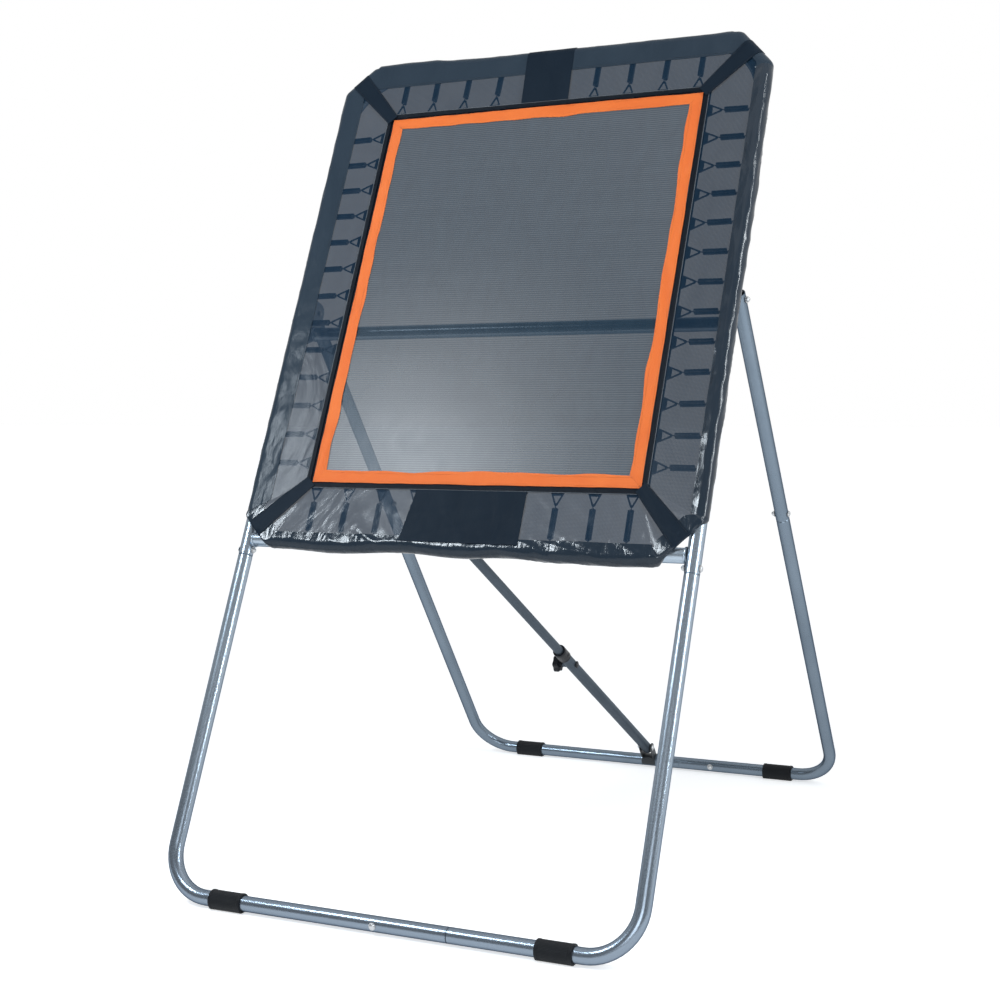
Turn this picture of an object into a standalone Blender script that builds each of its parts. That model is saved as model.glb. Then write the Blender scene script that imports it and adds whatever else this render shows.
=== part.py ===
# Lacrosse rebounder: a sprung mat in a leaning tube frame, with folding rear legs and a telescopic strut.
# Metres, +Z up. The origin is on the floor, midway between the two floor bars; the mat faces -Y.
# The front frame is drawn in its own leaning plane: X across, Y up the plane, Z out towards the thrower.

import math

import bmesh
import bpy
from mathutils import Matrix, Vector

# Stance
BASE_DEPTH = 1.665
LEAN = math.radians(25.4)

# Clearances
GAP = 0.0003
SWIVEL_GAP = 0.0008
SLIDE_GAP = 0.0005

# Front frame
FRAME_WIDTH = 1.180
TUBE_R = 0.018
TUBE_WALL = 0.0015
LOWER_BAR_V = 0.882
TOP_BAR_V = 2.243
HOOP_BEND = 0.170
FRONT_BEND = 0.115
LEG_SEAM_V = 0.839
HOOP_SEAM_V = 1.574
SPIGOT = 0.090
HOOP_SPIGOT = 0.062
SWAGE = 0.006
FRONT_BAR_SEAM = 0.160
FRONT_BAR_SPIGOT = 0.240
FRONT_BAR_BOLT = -0.020
WELD = 0.0025

# Rear legs
REAR_R = 0.0175
REAR_TAPER = 0.026
REAR_BEND = 0.110
REAR_SEAM = 0.672
REAR_TOP = 0.018
REAR_BAR_SEAM = 0.100
REAR_BAR_SPIGOT = 0.160
REAR_BAR_BOLT = 0.200
PIVOT_V = 1.540
PIVOT_BEHIND = 0.046
PLATE_THICK = 0.0042
PLATE_BELOW = 0.105
PLATE_ABOVE = 0.026
PLATE_BEHIND = 0.020
PLATE_FRONT = 0.006

# Cross bar behind the mat
CROSS_R = 0.017
CROSS_BELOW_PIVOT = 0.063
CROSS_BEHIND = 0.045

# Bolts
BOLT_R = 0.004
BOLT_HEAD = 0.0055
BOLT_FLATS = 0.0068
NUT = 0.0062
BOLT_TAIL = 0.003
BOLT_SETBACK = 0.014
BUTTON_R = 0.0045
BUTTON_RISE = 0.0022
BUTTON_TURN = math.radians(215)
PIVOT_TAIL = 0.008

# Feet
FOOT_LENGTH = 0.086
FOOT_WALL = 0.0045
SOLE = 0.003
FOOT_HALF_BASE = 0.018
FRONT_FOOT = 0.413
REAR_FOOT = 0.408

# Strut
STRUT_BASE_UP = 0.058
STRUT_TOP_V = 0.013
STRUT_TOP_BEHIND = 0.045
OUTER_R = 0.0155
OUTER_WALL = 0.0015
INNER_R = 0.0125
INNER_WALL = 0.0015
OUTER_LENGTH = 0.775
INNER_OVERLAP = 0.200
STRUT_END = 0.013
KNOB_STATION = 0.680
COLLAR_LENGTH = 0.045
COLLAR_WALL = 0.002
COLLAR_BUTTON = 0.750
BOSS_R = 0.009
BOSS_HEIGHT = 0.009
STUD_R = 0.004
KNOB_R = 0.0245
KNOB_THICK = 0.016
KNOB_LOBES = 6
KNOB_HUB = 0.007
CAP_R = 0.010
CAP_THICK = 0.004
BRACKET_PLATE = 0.003
BRACKET_LIP = 0.0017
EAR_R = 0.014

# Mat and springs
SIDE_REACH = 0.112
BOTTOM_REACH = 0.1275
TOP_REACH = 0.1185
SIDE_SPRINGS = 13
END_SPRINGS = 10
SIDE_MARGIN = 0.064
END_MARGIN = 0.037
HEM_WIDTH = 0.0197
HEM_THICK = 0.0024
BORDER_WIDTH = 0.038
BORDER_THICK = 0.0016
RING_REACH = 0.035
RING_WIDTH = 0.040
RING_WIRE = 0.003
COIL_R = 0.0064
COIL_WIRE = 0.0013
CURLS = 1.0
CURL_POINTS = 8
HOOK = 0.008
HOOK_IN_TUBE = 0.004
HOOK_HOLE = 0.0020
HOOK_SIDES = 4

# Padded cover
COVER_SLACK = 0.0013
COVER_THICK = 0.0012
SHEET_THICK = 0.0010
COVER_CUT_SIDE = 0.110
COVER_CUT_END = 0.100
WRAP_START = math.radians(-8)
WRAP_END = math.radians(165)
SHEET_OVERLAP = 0.014
SEAM_GAP = 0.0004

# Roundness
TUBE_RESOLUTION = 4
HOLE_SIDES = 8
HOLE_TURN = math.radians(11)
STRUT_RESOLUTION = 4
BEND_STEPS = 5
WRAP_STEPS = 8

for old in list(bpy.data.objects):
    bpy.data.objects.remove(old, do_unlink=True)

parts = bpy.data.collections.new("lacrosse_rebounder")
cutters = bpy.data.collections.new("cutters")
bpy.context.scene.collection.children.link(parts)
bpy.context.scene.collection.children.link(cutters)


def look(name, colour, roughness, metallic=0.0):
    material = bpy.data.materials.new(name)
    material.use_nodes = True
    shader = material.node_tree.nodes["Principled BSDF"]
    shader.inputs["Base Color"].default_value = (*colour, 1)
    shader.inputs["Roughness"].default_value = roughness
    shader.inputs["Metallic"].default_value = metallic
    return material


def frame(name, parent=None, location=(0, 0, 0), turn_x=0.0):
    empty = bpy.data.objects.new(name, None)
    empty.parent = parent
    empty.location = location
    empty.rotation_euler = (turn_x, 0, 0)
    empty.empty_display_size = 0.05
    parts.objects.link(empty)
    return empty


def place(name, mesh, material, parent, location=(0, 0, 0), rotation=(0, 0, 0)):
    part = bpy.data.objects.new(name, mesh)
    part.parent = parent
    part.location = location
    part.rotation_euler = rotation
    if not mesh.materials:
        mesh.materials.append(material)
        mesh.shade_smooth()
        mesh.set_sharp_from_angle(angle=math.radians(35))
    parts.objects.link(part)
    return part


def combine(part, mesh, operation):
    helper = bpy.data.objects.new(part.name + "_" + operation.lower(), mesh)
    helper.parent = part.parent
    helper.location = part.location
    helper.rotation_euler = part.rotation_euler
    helper.hide_render = True
    helper.display_type = "WIRE"
    cutters.objects.link(helper)
    modifier = part.modifiers.new(operation.title(), "BOOLEAN")
    modifier.operation = operation
    modifier.object = helper
    modifier.solver = "EXACT"


def mesh_of(shape, name):
    mesh = bpy.data.meshes.new(name)
    shape.to_mesh(mesh)
    shape.free()
    return mesh


def rods(radius, length, places, sides=12):
    shape = bmesh.new()
    for matrix in places:
        bmesh.ops.create_cone(
            shape, cap_ends=True, segments=sides, radius1=radius, radius2=radius, depth=length, matrix=matrix
        )
    return mesh_of(shape, "rods")


# Cutters for round holes. Their flats keep the radius clear, and a turn keeps corners off a tube's edges.
def drills(radius, length, places, sides=HOLE_SIDES):
    turned_places = [place @ Matrix.Rotation(HOLE_TURN, 4, "Z") for place in places]
    return rods(radius / math.cos(math.pi / sides), length, turned_places, sides)


def across(x, y, z):
    return Matrix.Translation((x, y, z)) @ Matrix.Rotation(math.pi / 2, 4, "Y")


def along(x, y, z):
    return Matrix.Translation((x, y, z)) @ Matrix.Rotation(math.pi / 2, 4, "X")


def evaluated_mesh(source):
    cutters.objects.link(source)
    graph = bpy.context.evaluated_depsgraph_get()
    mesh = bpy.data.meshes.new_from_object(source.evaluated_get(graph))
    bpy.data.objects.remove(source, do_unlink=True)
    shape = bmesh.new()
    shape.from_mesh(mesh)
    bmesh.ops.remove_doubles(shape, verts=shape.verts, dist=1e-6)
    bmesh.ops.recalc_face_normals(shape, faces=shape.faces)
    shape.to_mesh(mesh)
    shape.free()
    mesh.materials.clear()
    return mesh


def swept(routes, resolution, capped):
    curve = bpy.data.curves.new("sweep", "CURVE")
    curve.dimensions = "3D"
    curve.bevel_depth = 1.0
    curve.bevel_resolution = resolution
    curve.use_fill_caps = capped
    for route in routes:
        spline = curve.splines.new("POLY")
        spline.points.add(len(route) - 1)
        for point, (spot, radius) in zip(spline.points, route):
            point.co = (*spot, 1)
            point.radius = radius
    return evaluated_mesh(bpy.data.objects.new("sweep", curve))


def flat(outlines, thickness):
    curve = bpy.data.curves.new("outline", "CURVE")
    curve.dimensions = "2D"
    curve.fill_mode = "BOTH"
    curve.extrude = thickness / 2
    for outline in outlines:
        spline = curve.splines.new("POLY")
        spline.use_cyclic_u = True
        spline.points.add(len(outline) - 1)
        for point, (x, y) in zip(spline.points, outline):
            point.co = (x, y, 0, 1)
    return evaluated_mesh(bpy.data.objects.new("outline", curve))


def arc(centre, radius, start, end, steps):
    turns = [start + (end - start) * step / steps for step in range(steps + 1)]
    return [(centre[0] + radius * math.cos(turn), centre[1] + radius * math.sin(turn)) for turn in turns]


# A round hole's outline; its flats keep the radius clear.
def circle(centre, radius, sides):
    return arc(centre, radius / math.cos(math.pi / sides), 0, 2 * math.pi * (sides - 1) / sides, sides - 1)


def rounded(corners, bend, steps=BEND_STEPS):
    corners = [Vector(corner) for corner in corners]
    path = [corners[0]]
    for before, corner, after in zip(corners, corners[1:], corners[2:]):
        back = (before - corner).normalized()
        ahead = (after - corner).normalized()
        half = back.angle(ahead) / 2
        run = bend / math.tan(half)
        centre = corner + (back + ahead).normalized() * bend / math.sin(half)
        first = (corner + back * run - centre).normalized()
        last = (corner + ahead * run - centre).normalized()
        path += [centre + bend * first.slerp(last, step / steps) for step in range(steps + 1)]
    return path + [corners[-1]]


def hollow(part, wall):
    shell = part.modifiers.new("Wall", "SOLIDIFY")
    shell.thickness = wall
    shell.offset = -1
    shell.use_even_offset = True


def tube(name, route, wall, material, parent, resolution=TUBE_RESOLUTION):
    part = place(name, swept([route], resolution, False), material, parent)
    hollow(part, wall)
    return part


def even(path, radius):
    return [(spot, radius) for spot in path]


# A swaged end: just before the seam the tube steps down to a spigot that slides into the next tube.
def spigot_end(seam, direction, radius, wall, length):
    spigot_r = radius - wall - GAP
    return [
        (seam - direction * (GAP + SWAGE), radius),
        (seam - direction * GAP, spigot_r),
        (seam + direction * length, spigot_r),
    ]


# A hexagon bolt with its nut, along Z, head up; grip is what it clamps.
def bolt(name, grip, parent, location, rotation, tail=BOLT_TAIL):
    half = grip / 2 + GAP
    length = grip + 2 * GAP + BOLT_HEAD / 2 + NUT + tail
    shank = rods(BOLT_R, length, [Matrix.Translation((0, 0, half + (BOLT_HEAD - length) / 2))], 8)
    part = place(name, shank, zinc, parent, location, rotation)
    for height, middle in ((BOLT_HEAD, half + BOLT_HEAD / 2), (NUT, -half - NUT / 2)):
        combine(part, rods(BOLT_FLATS, height, [Matrix.Translation((0, 0, middle))], 6), "UNION")
    return part


def turned(name, profile, steps, material, parent, location, rotation):
    mesh = bpy.data.meshes.new(name)
    edges = [(spot, spot + 1) for spot in range(len(profile) - 1)]
    if profile[0][0] > 0:
        edges.append((len(profile) - 1, 0))
    mesh.from_pydata([(x, 0, z) for x, z in profile], edges, [])
    mesh.materials.append(material)
    part = place(name, mesh, material, parent, location, rotation)
    screw = part.modifiers.new("Turn", "SCREW")
    screw.axis = "Z"
    screw.steps = steps
    screw.render_steps = steps
    screw.use_merge_vertices = True
    screw.merge_threshold = 0.0001
    return part


steel = look("satin_steel_tube", (0.46, 0.51, 0.56), 0.33, 0.75)
zinc = look("zinc_bolt", (0.60, 0.62, 0.64), 0.35, 0.9)
plate_steel = look("bracket_steel", (0.42, 0.46, 0.50), 0.40, 0.7)
dark_steel = look("dark_bracket", (0.03, 0.035, 0.04), 0.45, 0.3)
strut_steel = look("strut_tube", (0.20, 0.25, 0.29), 0.38, 0.6)
rubber = look("black_rubber", (0.015, 0.015, 0.017), 0.75)
plastic = look("black_plastic", (0.02, 0.02, 0.022), 0.40)
spring_steel = look("spring_wire", (0.55, 0.57, 0.60), 0.30, 0.9)
net = look("mat_mesh", (0.035, 0.038, 0.042), 0.80)
orange = look("orange_webbing", (0.90, 0.20, 0.04), 0.70)
vinyl = look("cover_vinyl", (0.03, 0.035, 0.042), 0.28)
smoked = look("cover_window", (0.10, 0.12, 0.14), 0.20)

# Frames: the leaning plane, the two floor lines, the rear legs' pivot and the strut
side_u = FRAME_WIDTH / 2
half_depth = BASE_DEPTH / 2
foot_r = max(TUBE_R, REAR_R) + FOOT_WALL
axis_height = max(TUBE_R, REAR_R) + SOLE
plane = frame("front_plane", None, (0, -half_depth, axis_height), math.pi / 2 - LEAN)
front_line = frame("front_floor_line", None, (0, -half_depth, axis_height))


def in_world(v, n):
    y = v * math.sin(LEAN) - n * math.cos(LEAN) - half_depth
    z = v * math.cos(LEAN) + n * math.sin(LEAN) + axis_height
    return Vector((0, y, z))


pivot_place = in_world(PIVOT_V, -PIVOT_BEHIND)
rear_bar_place = Vector((0, half_depth, axis_height))
leg_length = (pivot_place - rear_bar_place).length
leg_turn = math.atan2(pivot_place.z - rear_bar_place.z, pivot_place.y - rear_bar_place.y)
pivot = frame("rear_leg_pivot", None, pivot_place, leg_turn)
rear_line = frame("rear_floor_line", pivot, (0, -leg_length, 0), -leg_turn)
leg_up = Vector((0, math.cos(leg_turn), math.sin(leg_turn)))
strut_base = rear_bar_place + leg_up * STRUT_BASE_UP
strut_top = in_world(LOWER_BAR_V + STRUT_TOP_V, -STRUT_TOP_BEHIND)
strut_length = (strut_top - strut_base).length
strut_turn = math.atan2(strut_top.z - strut_base.z, strut_top.y - strut_base.y)
strut_axis = frame("strut_base_pivot", pivot, (0, STRUT_BASE_UP - leg_length, 0), strut_turn - leg_turn)
strut_slide = frame("strut_slide", strut_axis)

# Mat outline in the plane
mat_u = side_u - TUBE_R - SIDE_REACH
mat_low = LOWER_BAR_V + TUBE_R + BOTTOM_REACH
mat_high = TOP_BAR_V - TUBE_R - TOP_REACH


def spread(first, last, count):
    return [first + (last - first) * step / (count - 1) for step in range(count)]


side_places = spread(mat_low + SIDE_MARGIN, mat_high - SIDE_MARGIN, SIDE_SPRINGS)
end_places = spread(END_MARGIN - mat_u, mat_u - END_MARGIN, END_SPRINGS)
hole_depth = 2 * (TUBE_WALL + HOOK_IN_TUBE)


def side_holes(side, low, high):
    u = side * (side_u - TUBE_R)
    return [across(u, v, 0) for v in side_places if low < v < high]


def end_holes(v):
    return [along(u, v, 0) for u in end_places]


def x_turn(side):
    return (0, side * math.pi / 2, 0)


# A sprung button locks each side of the hoop to its side tube, from the back.
button_profile = [
    (0, BUTTON_RISE),
    (BUTTON_R * 0.6, BUTTON_RISE * 0.85),
    (BUTTON_R - GAP, BUTTON_RISE * 0.3),
    (BUTTON_R - GAP, -2.6 * TUBE_WALL),
    (0, -2.6 * TUBE_WALL),
]


def button_place(side):
    turn = side * BUTTON_TURN
    spot = Vector((side * side_u, HOOP_SEAM_V + HOOP_SPIGOT / 2, 0))
    return spot + TUBE_R * Vector((math.sin(turn), 0, math.cos(turn))), turn


def button_holes(sides):
    places = []
    for side in sides:
        spot, turn = button_place(side)
        places.append(Matrix.Translation(spot) @ Matrix.Rotation(turn, 4, "Y"))
    return drills(BUTTON_R, 8 * TUBE_WALL, places)


# Front frame: side tubes, lower bar, hoop and the two floor legs
for name, side in (("left", -1), ("right", 1)):
    u = side * side_u
    up = Vector((0, 1, 0))
    seam = Vector((u, HOOP_SEAM_V, 0))
    route = even([Vector((u, LEG_SEAM_V, 0))], TUBE_R) + spigot_end(seam, up, TUBE_R, TUBE_WALL, HOOP_SPIGOT)
    side_tube = tube("side_tube_" + name, route, TUBE_WALL, steel, plane)
    hook_holes = side_holes(side, LEG_SEAM_V, HOOP_SEAM_V)
    combine(side_tube, drills(HOOK_HOLE, hole_depth, hook_holes, HOOK_SIDES), "DIFFERENCE")
    leg_bolt = [across(u, LEG_SEAM_V + BOLT_SETBACK, 0)]
    combine(side_tube, drills(BOLT_R + GAP, 4 * TUBE_R, leg_bolt), "DIFFERENCE")
    combine(side_tube, button_holes([side]), "DIFFERENCE")

    # Floor leg: up into the side tube, round the floor bend and along the bar
    bar_seam = Vector((FRONT_BAR_SEAM, 0, 0))
    head = spigot_end(Vector((u, LEG_SEAM_V, 0)), up, TUBE_R, TUBE_WALL, SPIGOT)
    corner = Vector((u, 0, 0))
    if side > 0:
        tail = spigot_end(bar_seam, Vector((-1, 0, 0)), TUBE_R, TUBE_WALL, FRONT_BAR_SPIGOT)
    else:
        tail = [(bar_seam, TUBE_R)]
    bend = rounded([head[0][0], corner, tail[0][0]], FRONT_BEND)
    route = list(reversed(head)) + even(bend[1:-1], TUBE_R) + tail
    leg = tube("front_leg_" + name, route, TUBE_WALL, steel, plane)
    combine(leg, drills(BOLT_R + GAP, 4 * TUBE_R, leg_bolt), "DIFFERENCE")
    bar_bolt = Matrix.Rotation(LEAN - math.pi / 2, 4, "X") @ along(FRONT_BAR_BOLT, 0, 0)
    combine(leg, drills(BOLT_R + GAP, 4 * TUBE_R, [bar_bolt]), "DIFFERENCE")

    bolt("leg_bolt_" + name, 2 * TUBE_R, plane, (u, LEG_SEAM_V + BOLT_SETBACK, 0), x_turn(side))
    spot, turn = button_place(side)
    turned("hoop_button_" + name, button_profile, HOLE_SIDES, zinc, plane, spot, (0, turn, 0))

bolt("front_bar_bolt", 2 * TUBE_R, front_line, (FRONT_BAR_BOLT, 0, 0), (math.pi / 2, 0, 0))

hoop_corners = [
    (-side_u, HOOP_SEAM_V, 0),
    (-side_u, TOP_BAR_V, 0),
    (side_u, TOP_BAR_V, 0),
    (side_u, HOOP_SEAM_V, 0),
]
hoop = tube("top_hoop", even(rounded(hoop_corners, HOOP_BEND), TUBE_R), TUBE_WALL, steel, plane)
hoop_holes = end_holes(TOP_BAR_V - TUBE_R)
for side in (-1, 1):
    hoop_holes += side_holes(side, HOOP_SEAM_V, TOP_BAR_V)
combine(hoop, drills(HOOK_HOLE, hole_depth, hoop_holes, HOOK_SIDES), "DIFFERENCE")
combine(hoop, button_holes([-1, 1]), "DIFFERENCE")


# A bar between two walls, its ends flared by their weld beads
def welded_bar(name, half, v, n, radius):
    ends = [
        (-half, radius + WELD),
        (-half + 3 * WELD, radius),
        (half - 3 * WELD, radius),
        (half, radius + WELD),
    ]
    return tube(name, [(Vector((u, v, n)), r) for u, r in ends], TUBE_WALL, steel, plane)


lower_bar = welded_bar("lower_bar", side_u - TUBE_R + 2 * WELD, LOWER_BAR_V, 0, TUBE_R)
side_cuts = [along(side * side_u, LOWER_BAR_V, 0) for side in (-1, 1)]
combine(lower_bar, drills(TUBE_R + GAP, 6 * TUBE_R, side_cuts, 16), "DIFFERENCE")
combine(lower_bar, drills(HOOK_HOLE, hole_depth, end_holes(LOWER_BAR_V + TUBE_R), HOOK_SIDES), "DIFFERENCE")

# Pivot plates on the backs of the side tubes, with the cross bar between them
tube_flat = TUBE_R * math.cos(math.pi / (4 + 2 * TUBE_RESOLUTION))
plate_outer = side_u - math.sqrt(tube_flat ** 2 - PLATE_FRONT ** 2) - GAP
plate_inner = plate_outer - PLATE_THICK
leg_u = plate_outer + SWIVEL_GAP + REAR_R
cross_v = PIVOT_V - CROSS_BELOW_PIVOT
plate_low = PIVOT_V - PLATE_BELOW
plate_high = PIVOT_V + PLATE_ABOVE
plate_back = PIVOT_BEHIND + PLATE_BEHIND
plate_outline = [
    (plate_low, -PLATE_FRONT),
    (plate_low, -PLATE_FRONT - 0.014),
    (plate_low + 0.030, 0.012 - plate_back),
    (plate_low + 0.046, -plate_back),
]
plate_outline += arc((plate_high - 0.020, 0.020 - plate_back), 0.020, -math.pi / 2, 0, 4)
plate_outline += [(plate_high, -PLATE_FRONT)]
plate_flat = [(-n, v) for v, n in plate_outline]
pivot_hole = circle((PIVOT_BEHIND, PIVOT_V), BOLT_R + GAP, 12)
for name, side in (("left", -1), ("right", 1)):
    middle = side * (plate_outer + plate_inner) / 2
    place("pivot_plate_" + name, flat([plate_flat, pivot_hole], PLATE_THICK), plate_steel, plane,
          (middle, 0, 0), x_turn(1))
    bolt("pivot_bolt_" + name, leg_u + REAR_R - plate_inner, plane,
         (side * (leg_u + REAR_R + plate_inner) / 2, PIVOT_V, -PIVOT_BEHIND), x_turn(-side), tail=PIVOT_TAIL)
welded_bar("cross_bar", plate_inner - 2 * GAP, cross_v, -CROSS_BEHIND, CROSS_R)


# Rear legs: upper tubes on the pivots, lower tubes that bend into the rear floor bar
def leg_point(side, w):
    slope = REAR_TAPER / 2 / leg_length
    return Vector((side * (leg_u + slope * w), w, 0))


for name, side in (("left", -1), ("right", 1)):
    seam = leg_point(side, -REAR_SEAM)
    upper_route = even([leg_point(side, REAR_TOP), seam], REAR_R)
    upper = tube("rear_leg_upper_" + name, upper_route, TUBE_WALL, steel, pivot)
    joint = leg_point(side, BOLT_SETBACK - REAR_SEAM)
    holes = [across(side * leg_u, 0, 0), across(*joint)]
    combine(upper, drills(BOLT_R + GAP, 4 * REAR_R, holes), "DIFFERENCE")

    up_leg = (leg_point(side, 0) - leg_point(side, -1)).normalized()
    head = spigot_end(seam, up_leg, REAR_R, TUBE_WALL, SPIGOT)
    inward = Vector((-side, 0, 0))
    bar_seam = Vector((REAR_BAR_SEAM, -leg_length, 0))
    if side < 0:
        tail = spigot_end(bar_seam, inward, REAR_R, TUBE_WALL, REAR_BAR_SPIGOT)
    else:
        tail = [(bar_seam, REAR_R)]
    bend = rounded([head[0][0], leg_point(side, -leg_length), tail[0][0]], REAR_BEND)
    route = list(reversed(head)) + even(bend[1:-1], REAR_R) + tail
    lower = tube("rear_leg_lower_" + name, route, TUBE_WALL, steel, pivot)
    combine(lower, drills(BOLT_R + GAP, 4 * REAR_R, [across(*joint)]), "DIFFERENCE")
    bar_bolt = (Matrix.Translation((0, -leg_length, 0)) @ Matrix.Rotation(-leg_turn, 4, "X")
                @ along(REAR_BAR_BOLT, 0, 0))
    combine(lower, drills(BOLT_R + GAP, 4 * REAR_R, [bar_bolt]), "DIFFERENCE")
    bolt("rear_leg_bolt_" + name, 2 * REAR_R, pivot, joint, x_turn(side))

bolt("rear_bar_bolt", 2 * REAR_R, rear_line, (REAR_BAR_BOLT, 0, 0), (-math.pi / 2, 0, 0))


# Clip-on rubber feet: a ring round the bar on a flat base
def foot(name, line, u, bar_r):
    base = -axis_height
    half = math.asin((FOOT_HALF_BASE + 0.001) / foot_r)
    outline = arc((0, 0), foot_r, -math.pi / 2 + half, 3 * math.pi / 2 - half, 14)
    outline += [(-FOOT_HALF_BASE, base), (FOOT_HALF_BASE, base)]
    ring = flat([outline, circle((0, 0), bar_r + GAP, 16)], FOOT_LENGTH)
    place(name, ring, rubber, line, (u, 0, 0), (math.pi / 2, 0, math.pi / 2))


for name, side in (("left", -1), ("right", 1)):
    foot("front_foot_" + name, front_line, side * FRONT_FOOT, TUBE_R)
    foot("rear_foot_" + name, rear_line, side * REAR_FOOT, REAR_R)


# Strut brackets: a saddle on the bar and two ears either side of the strut's end
def saddle(radius, start, end, steps=8):
    inner = (radius + GAP) / math.cos((end - start) / steps / 2)
    return arc((0, 0), inner + BRACKET_PLATE, start, end, steps) + arc((0, 0), inner, end, start, steps)


def bracket(name, bar_r, start, end, ear, ear_inside, parent, location):
    strap = flat([saddle(bar_r, math.radians(start), math.radians(end))], 2 * bracket_half)
    part = place(name, strap, dark_steel, parent, location, x_turn(1))
    for side in (-1, 1):
        mesh = flat([ear], BRACKET_PLATE)
        mesh.transform(Matrix.Translation((0, 0, side * (ear_inside + BRACKET_PLATE / 2))))
        combine(part, mesh, "UNION")
    return part


# Each outline is drawn as (-n, v) about the bar's axis, which the quarter turn sets upright.
saddle_mid = BRACKET_PLATE / 2 + 2 * GAP
bracket_half = OUTER_R + SWIVEL_GAP + BRACKET_PLATE + BRACKET_LIP
base_ear = arc((0, STRUT_BASE_UP), EAR_R, 0, math.pi, 8)
base_ear += arc((0, 0), REAR_R + saddle_mid, math.radians(132), math.radians(48), 5)
base_bracket = bracket("strut_base_bracket", REAR_R, 5, 175, base_ear, OUTER_R + SWIVEL_GAP, pivot,
                       (0, -leg_length, 0))
base_pin = [Matrix.Translation((0, STRUT_BASE_UP, 0))]
combine(base_bracket, drills(BOLT_R + GAP, 4 * bracket_half, base_pin), "DIFFERENCE")

# The upper ears are open hooks: the strut's pin drops into their flared slots.
seat_r = BOLT_R + SLIDE_GAP
seat = (STRUT_TOP_BEHIND, STRUT_TOP_V)
mouth_v = STRUT_TOP_V + 0.012
hook = arc((0, 0), TUBE_R + saddle_mid, math.radians(62), math.radians(-4), 4)
hook += [
    (STRUT_TOP_BEHIND + 0.004, STRUT_TOP_V - 0.017),
    (STRUT_TOP_BEHIND + 0.016, STRUT_TOP_V - 0.008),
    (STRUT_TOP_BEHIND + 0.020, mouth_v),
    (STRUT_TOP_BEHIND + 0.013, mouth_v),
]
hook += arc(seat, seat_r, math.radians(-30), math.radians(-155), 5)
hook += [
    (STRUT_TOP_BEHIND - 0.0105, mouth_v),
    (STRUT_TOP_BEHIND - 0.017, mouth_v),
]
bracket("strut_top_bracket", TUBE_R, -8, 80, hook, INNER_R + SWIVEL_GAP, plane, (0, LOWER_BAR_V, 0))

# Strut: outer tube on the rear bar, inner tube reaching up to the lower bar
outer_route = even([(0, -STRUT_END, 0), (0, OUTER_LENGTH, 0)], OUTER_R)
outer = tube("strut_outer_tube", outer_route, OUTER_WALL, strut_steel, strut_axis, STRUT_RESOLUTION)
boss = rods(BOSS_R, BOSS_HEIGHT + OUTER_WALL / 2,
            [across(-OUTER_R - (BOSS_HEIGHT - OUTER_WALL / 2) / 2, KNOB_STATION, 0)], 12)
combine(outer, boss, "UNION")
combine(outer, drills(BOLT_R + GAP, 4 * OUTER_R, [across(0, 0, 0)]), "DIFFERENCE")
stud_hole = [across(-OUTER_R - BOSS_HEIGHT / 2, KNOB_STATION, 0)]
combine(outer, drills(STUD_R + GAP, 3 * BOSS_HEIGHT, stud_hole, 10), "DIFFERENCE")
cap_hole = [across(OUTER_R, KNOB_STATION, 0)]
combine(outer, drills(STUD_R, 4 * OUTER_WALL, cap_hole, 12), "DIFFERENCE")

inner_end = OUTER_LENGTH - INNER_OVERLAP
inner_route = even([(0, inner_end, 0), (0, strut_length + STRUT_END, 0)], INNER_R)
inner = tube("strut_inner_tube", inner_route, INNER_WALL, strut_steel, strut_slide, STRUT_RESOLUTION)
combine(inner, drills(BOLT_R + GAP, 4 * OUTER_R, [across(0, strut_length, 0)]), "DIFFERENCE")

pin_span = 2 * (INNER_R + SWIVEL_GAP + BRACKET_PLATE + SLIDE_GAP)
bolt("strut_top_pin", pin_span, strut_slide, (0, strut_length, 0), x_turn(1))
base_span = 2 * (OUTER_R + SWIVEL_GAP + BRACKET_PLATE)
bolt("strut_base_bolt", base_span, pivot, (0, STRUT_BASE_UP - leg_length, 0), x_turn(1))

# Collar: a turned sleeve over the outer tube's mouth, with an inner lip that guides the inner tube
lip = 0.003
collar_sides = 16
collar_bore = (OUTER_R + GAP) / math.cos(math.pi / collar_sides)
collar_profile = [
    (OUTER_R + GAP + COLLAR_WALL - 0.0008, lip + GAP),
    (OUTER_R + GAP + COLLAR_WALL, lip + GAP - 0.001),
    (OUTER_R + GAP + COLLAR_WALL, lip + GAP - COLLAR_LENGTH),
    (collar_bore, lip + GAP - COLLAR_LENGTH),
    (collar_bore, GAP),
    (INNER_R + SLIDE_GAP, GAP),
    (INNER_R + SLIDE_GAP, lip + GAP),
]

collar = turned("strut_collar", collar_profile, collar_sides, plastic, strut_axis, (0, OUTER_LENGTH, 0),
                (-math.pi / 2, 0, 0))
button_z = COLLAR_BUTTON - OUTER_LENGTH
button_x = OUTER_R + GAP + COLLAR_WALL
combine(collar, rods(0.007, 0.004, [across(button_x, 0, button_z)], 12), "UNION")

# Knob: lobed grip, hub and stud, on its own axis across the strut
knob_face = -OUTER_R - BOSS_HEIGHT - SLIDE_GAP
knob_axis = frame("knob_axis", strut_axis, (knob_face, KNOB_STATION, 0))
lobe_points = 5 * KNOB_LOBES
knob_outline = []
for step in range(lobe_points):
    turn = 2 * math.pi * step / lobe_points
    reach = KNOB_R * (0.92 + 0.08 * math.cos(KNOB_LOBES * turn))
    knob_outline.append((reach * math.cos(turn), reach * math.sin(turn)))
knob = place("strut_knob", flat([knob_outline], KNOB_THICK), plastic, knob_axis,
             (-KNOB_HUB - KNOB_THICK / 2, 0, 0), x_turn(1))
edge = knob.modifiers.new("Edge", "BEVEL")
edge.width = 0.002
edge.segments = 1
edge.limit_method = "ANGLE"
edge.angle_limit = math.radians(60)
hub = KNOB_HUB + KNOB_THICK / 2
combine(knob, rods(0.011, hub, [Matrix.Translation((0, 0, hub / 2))], 14), "UNION")
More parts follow.
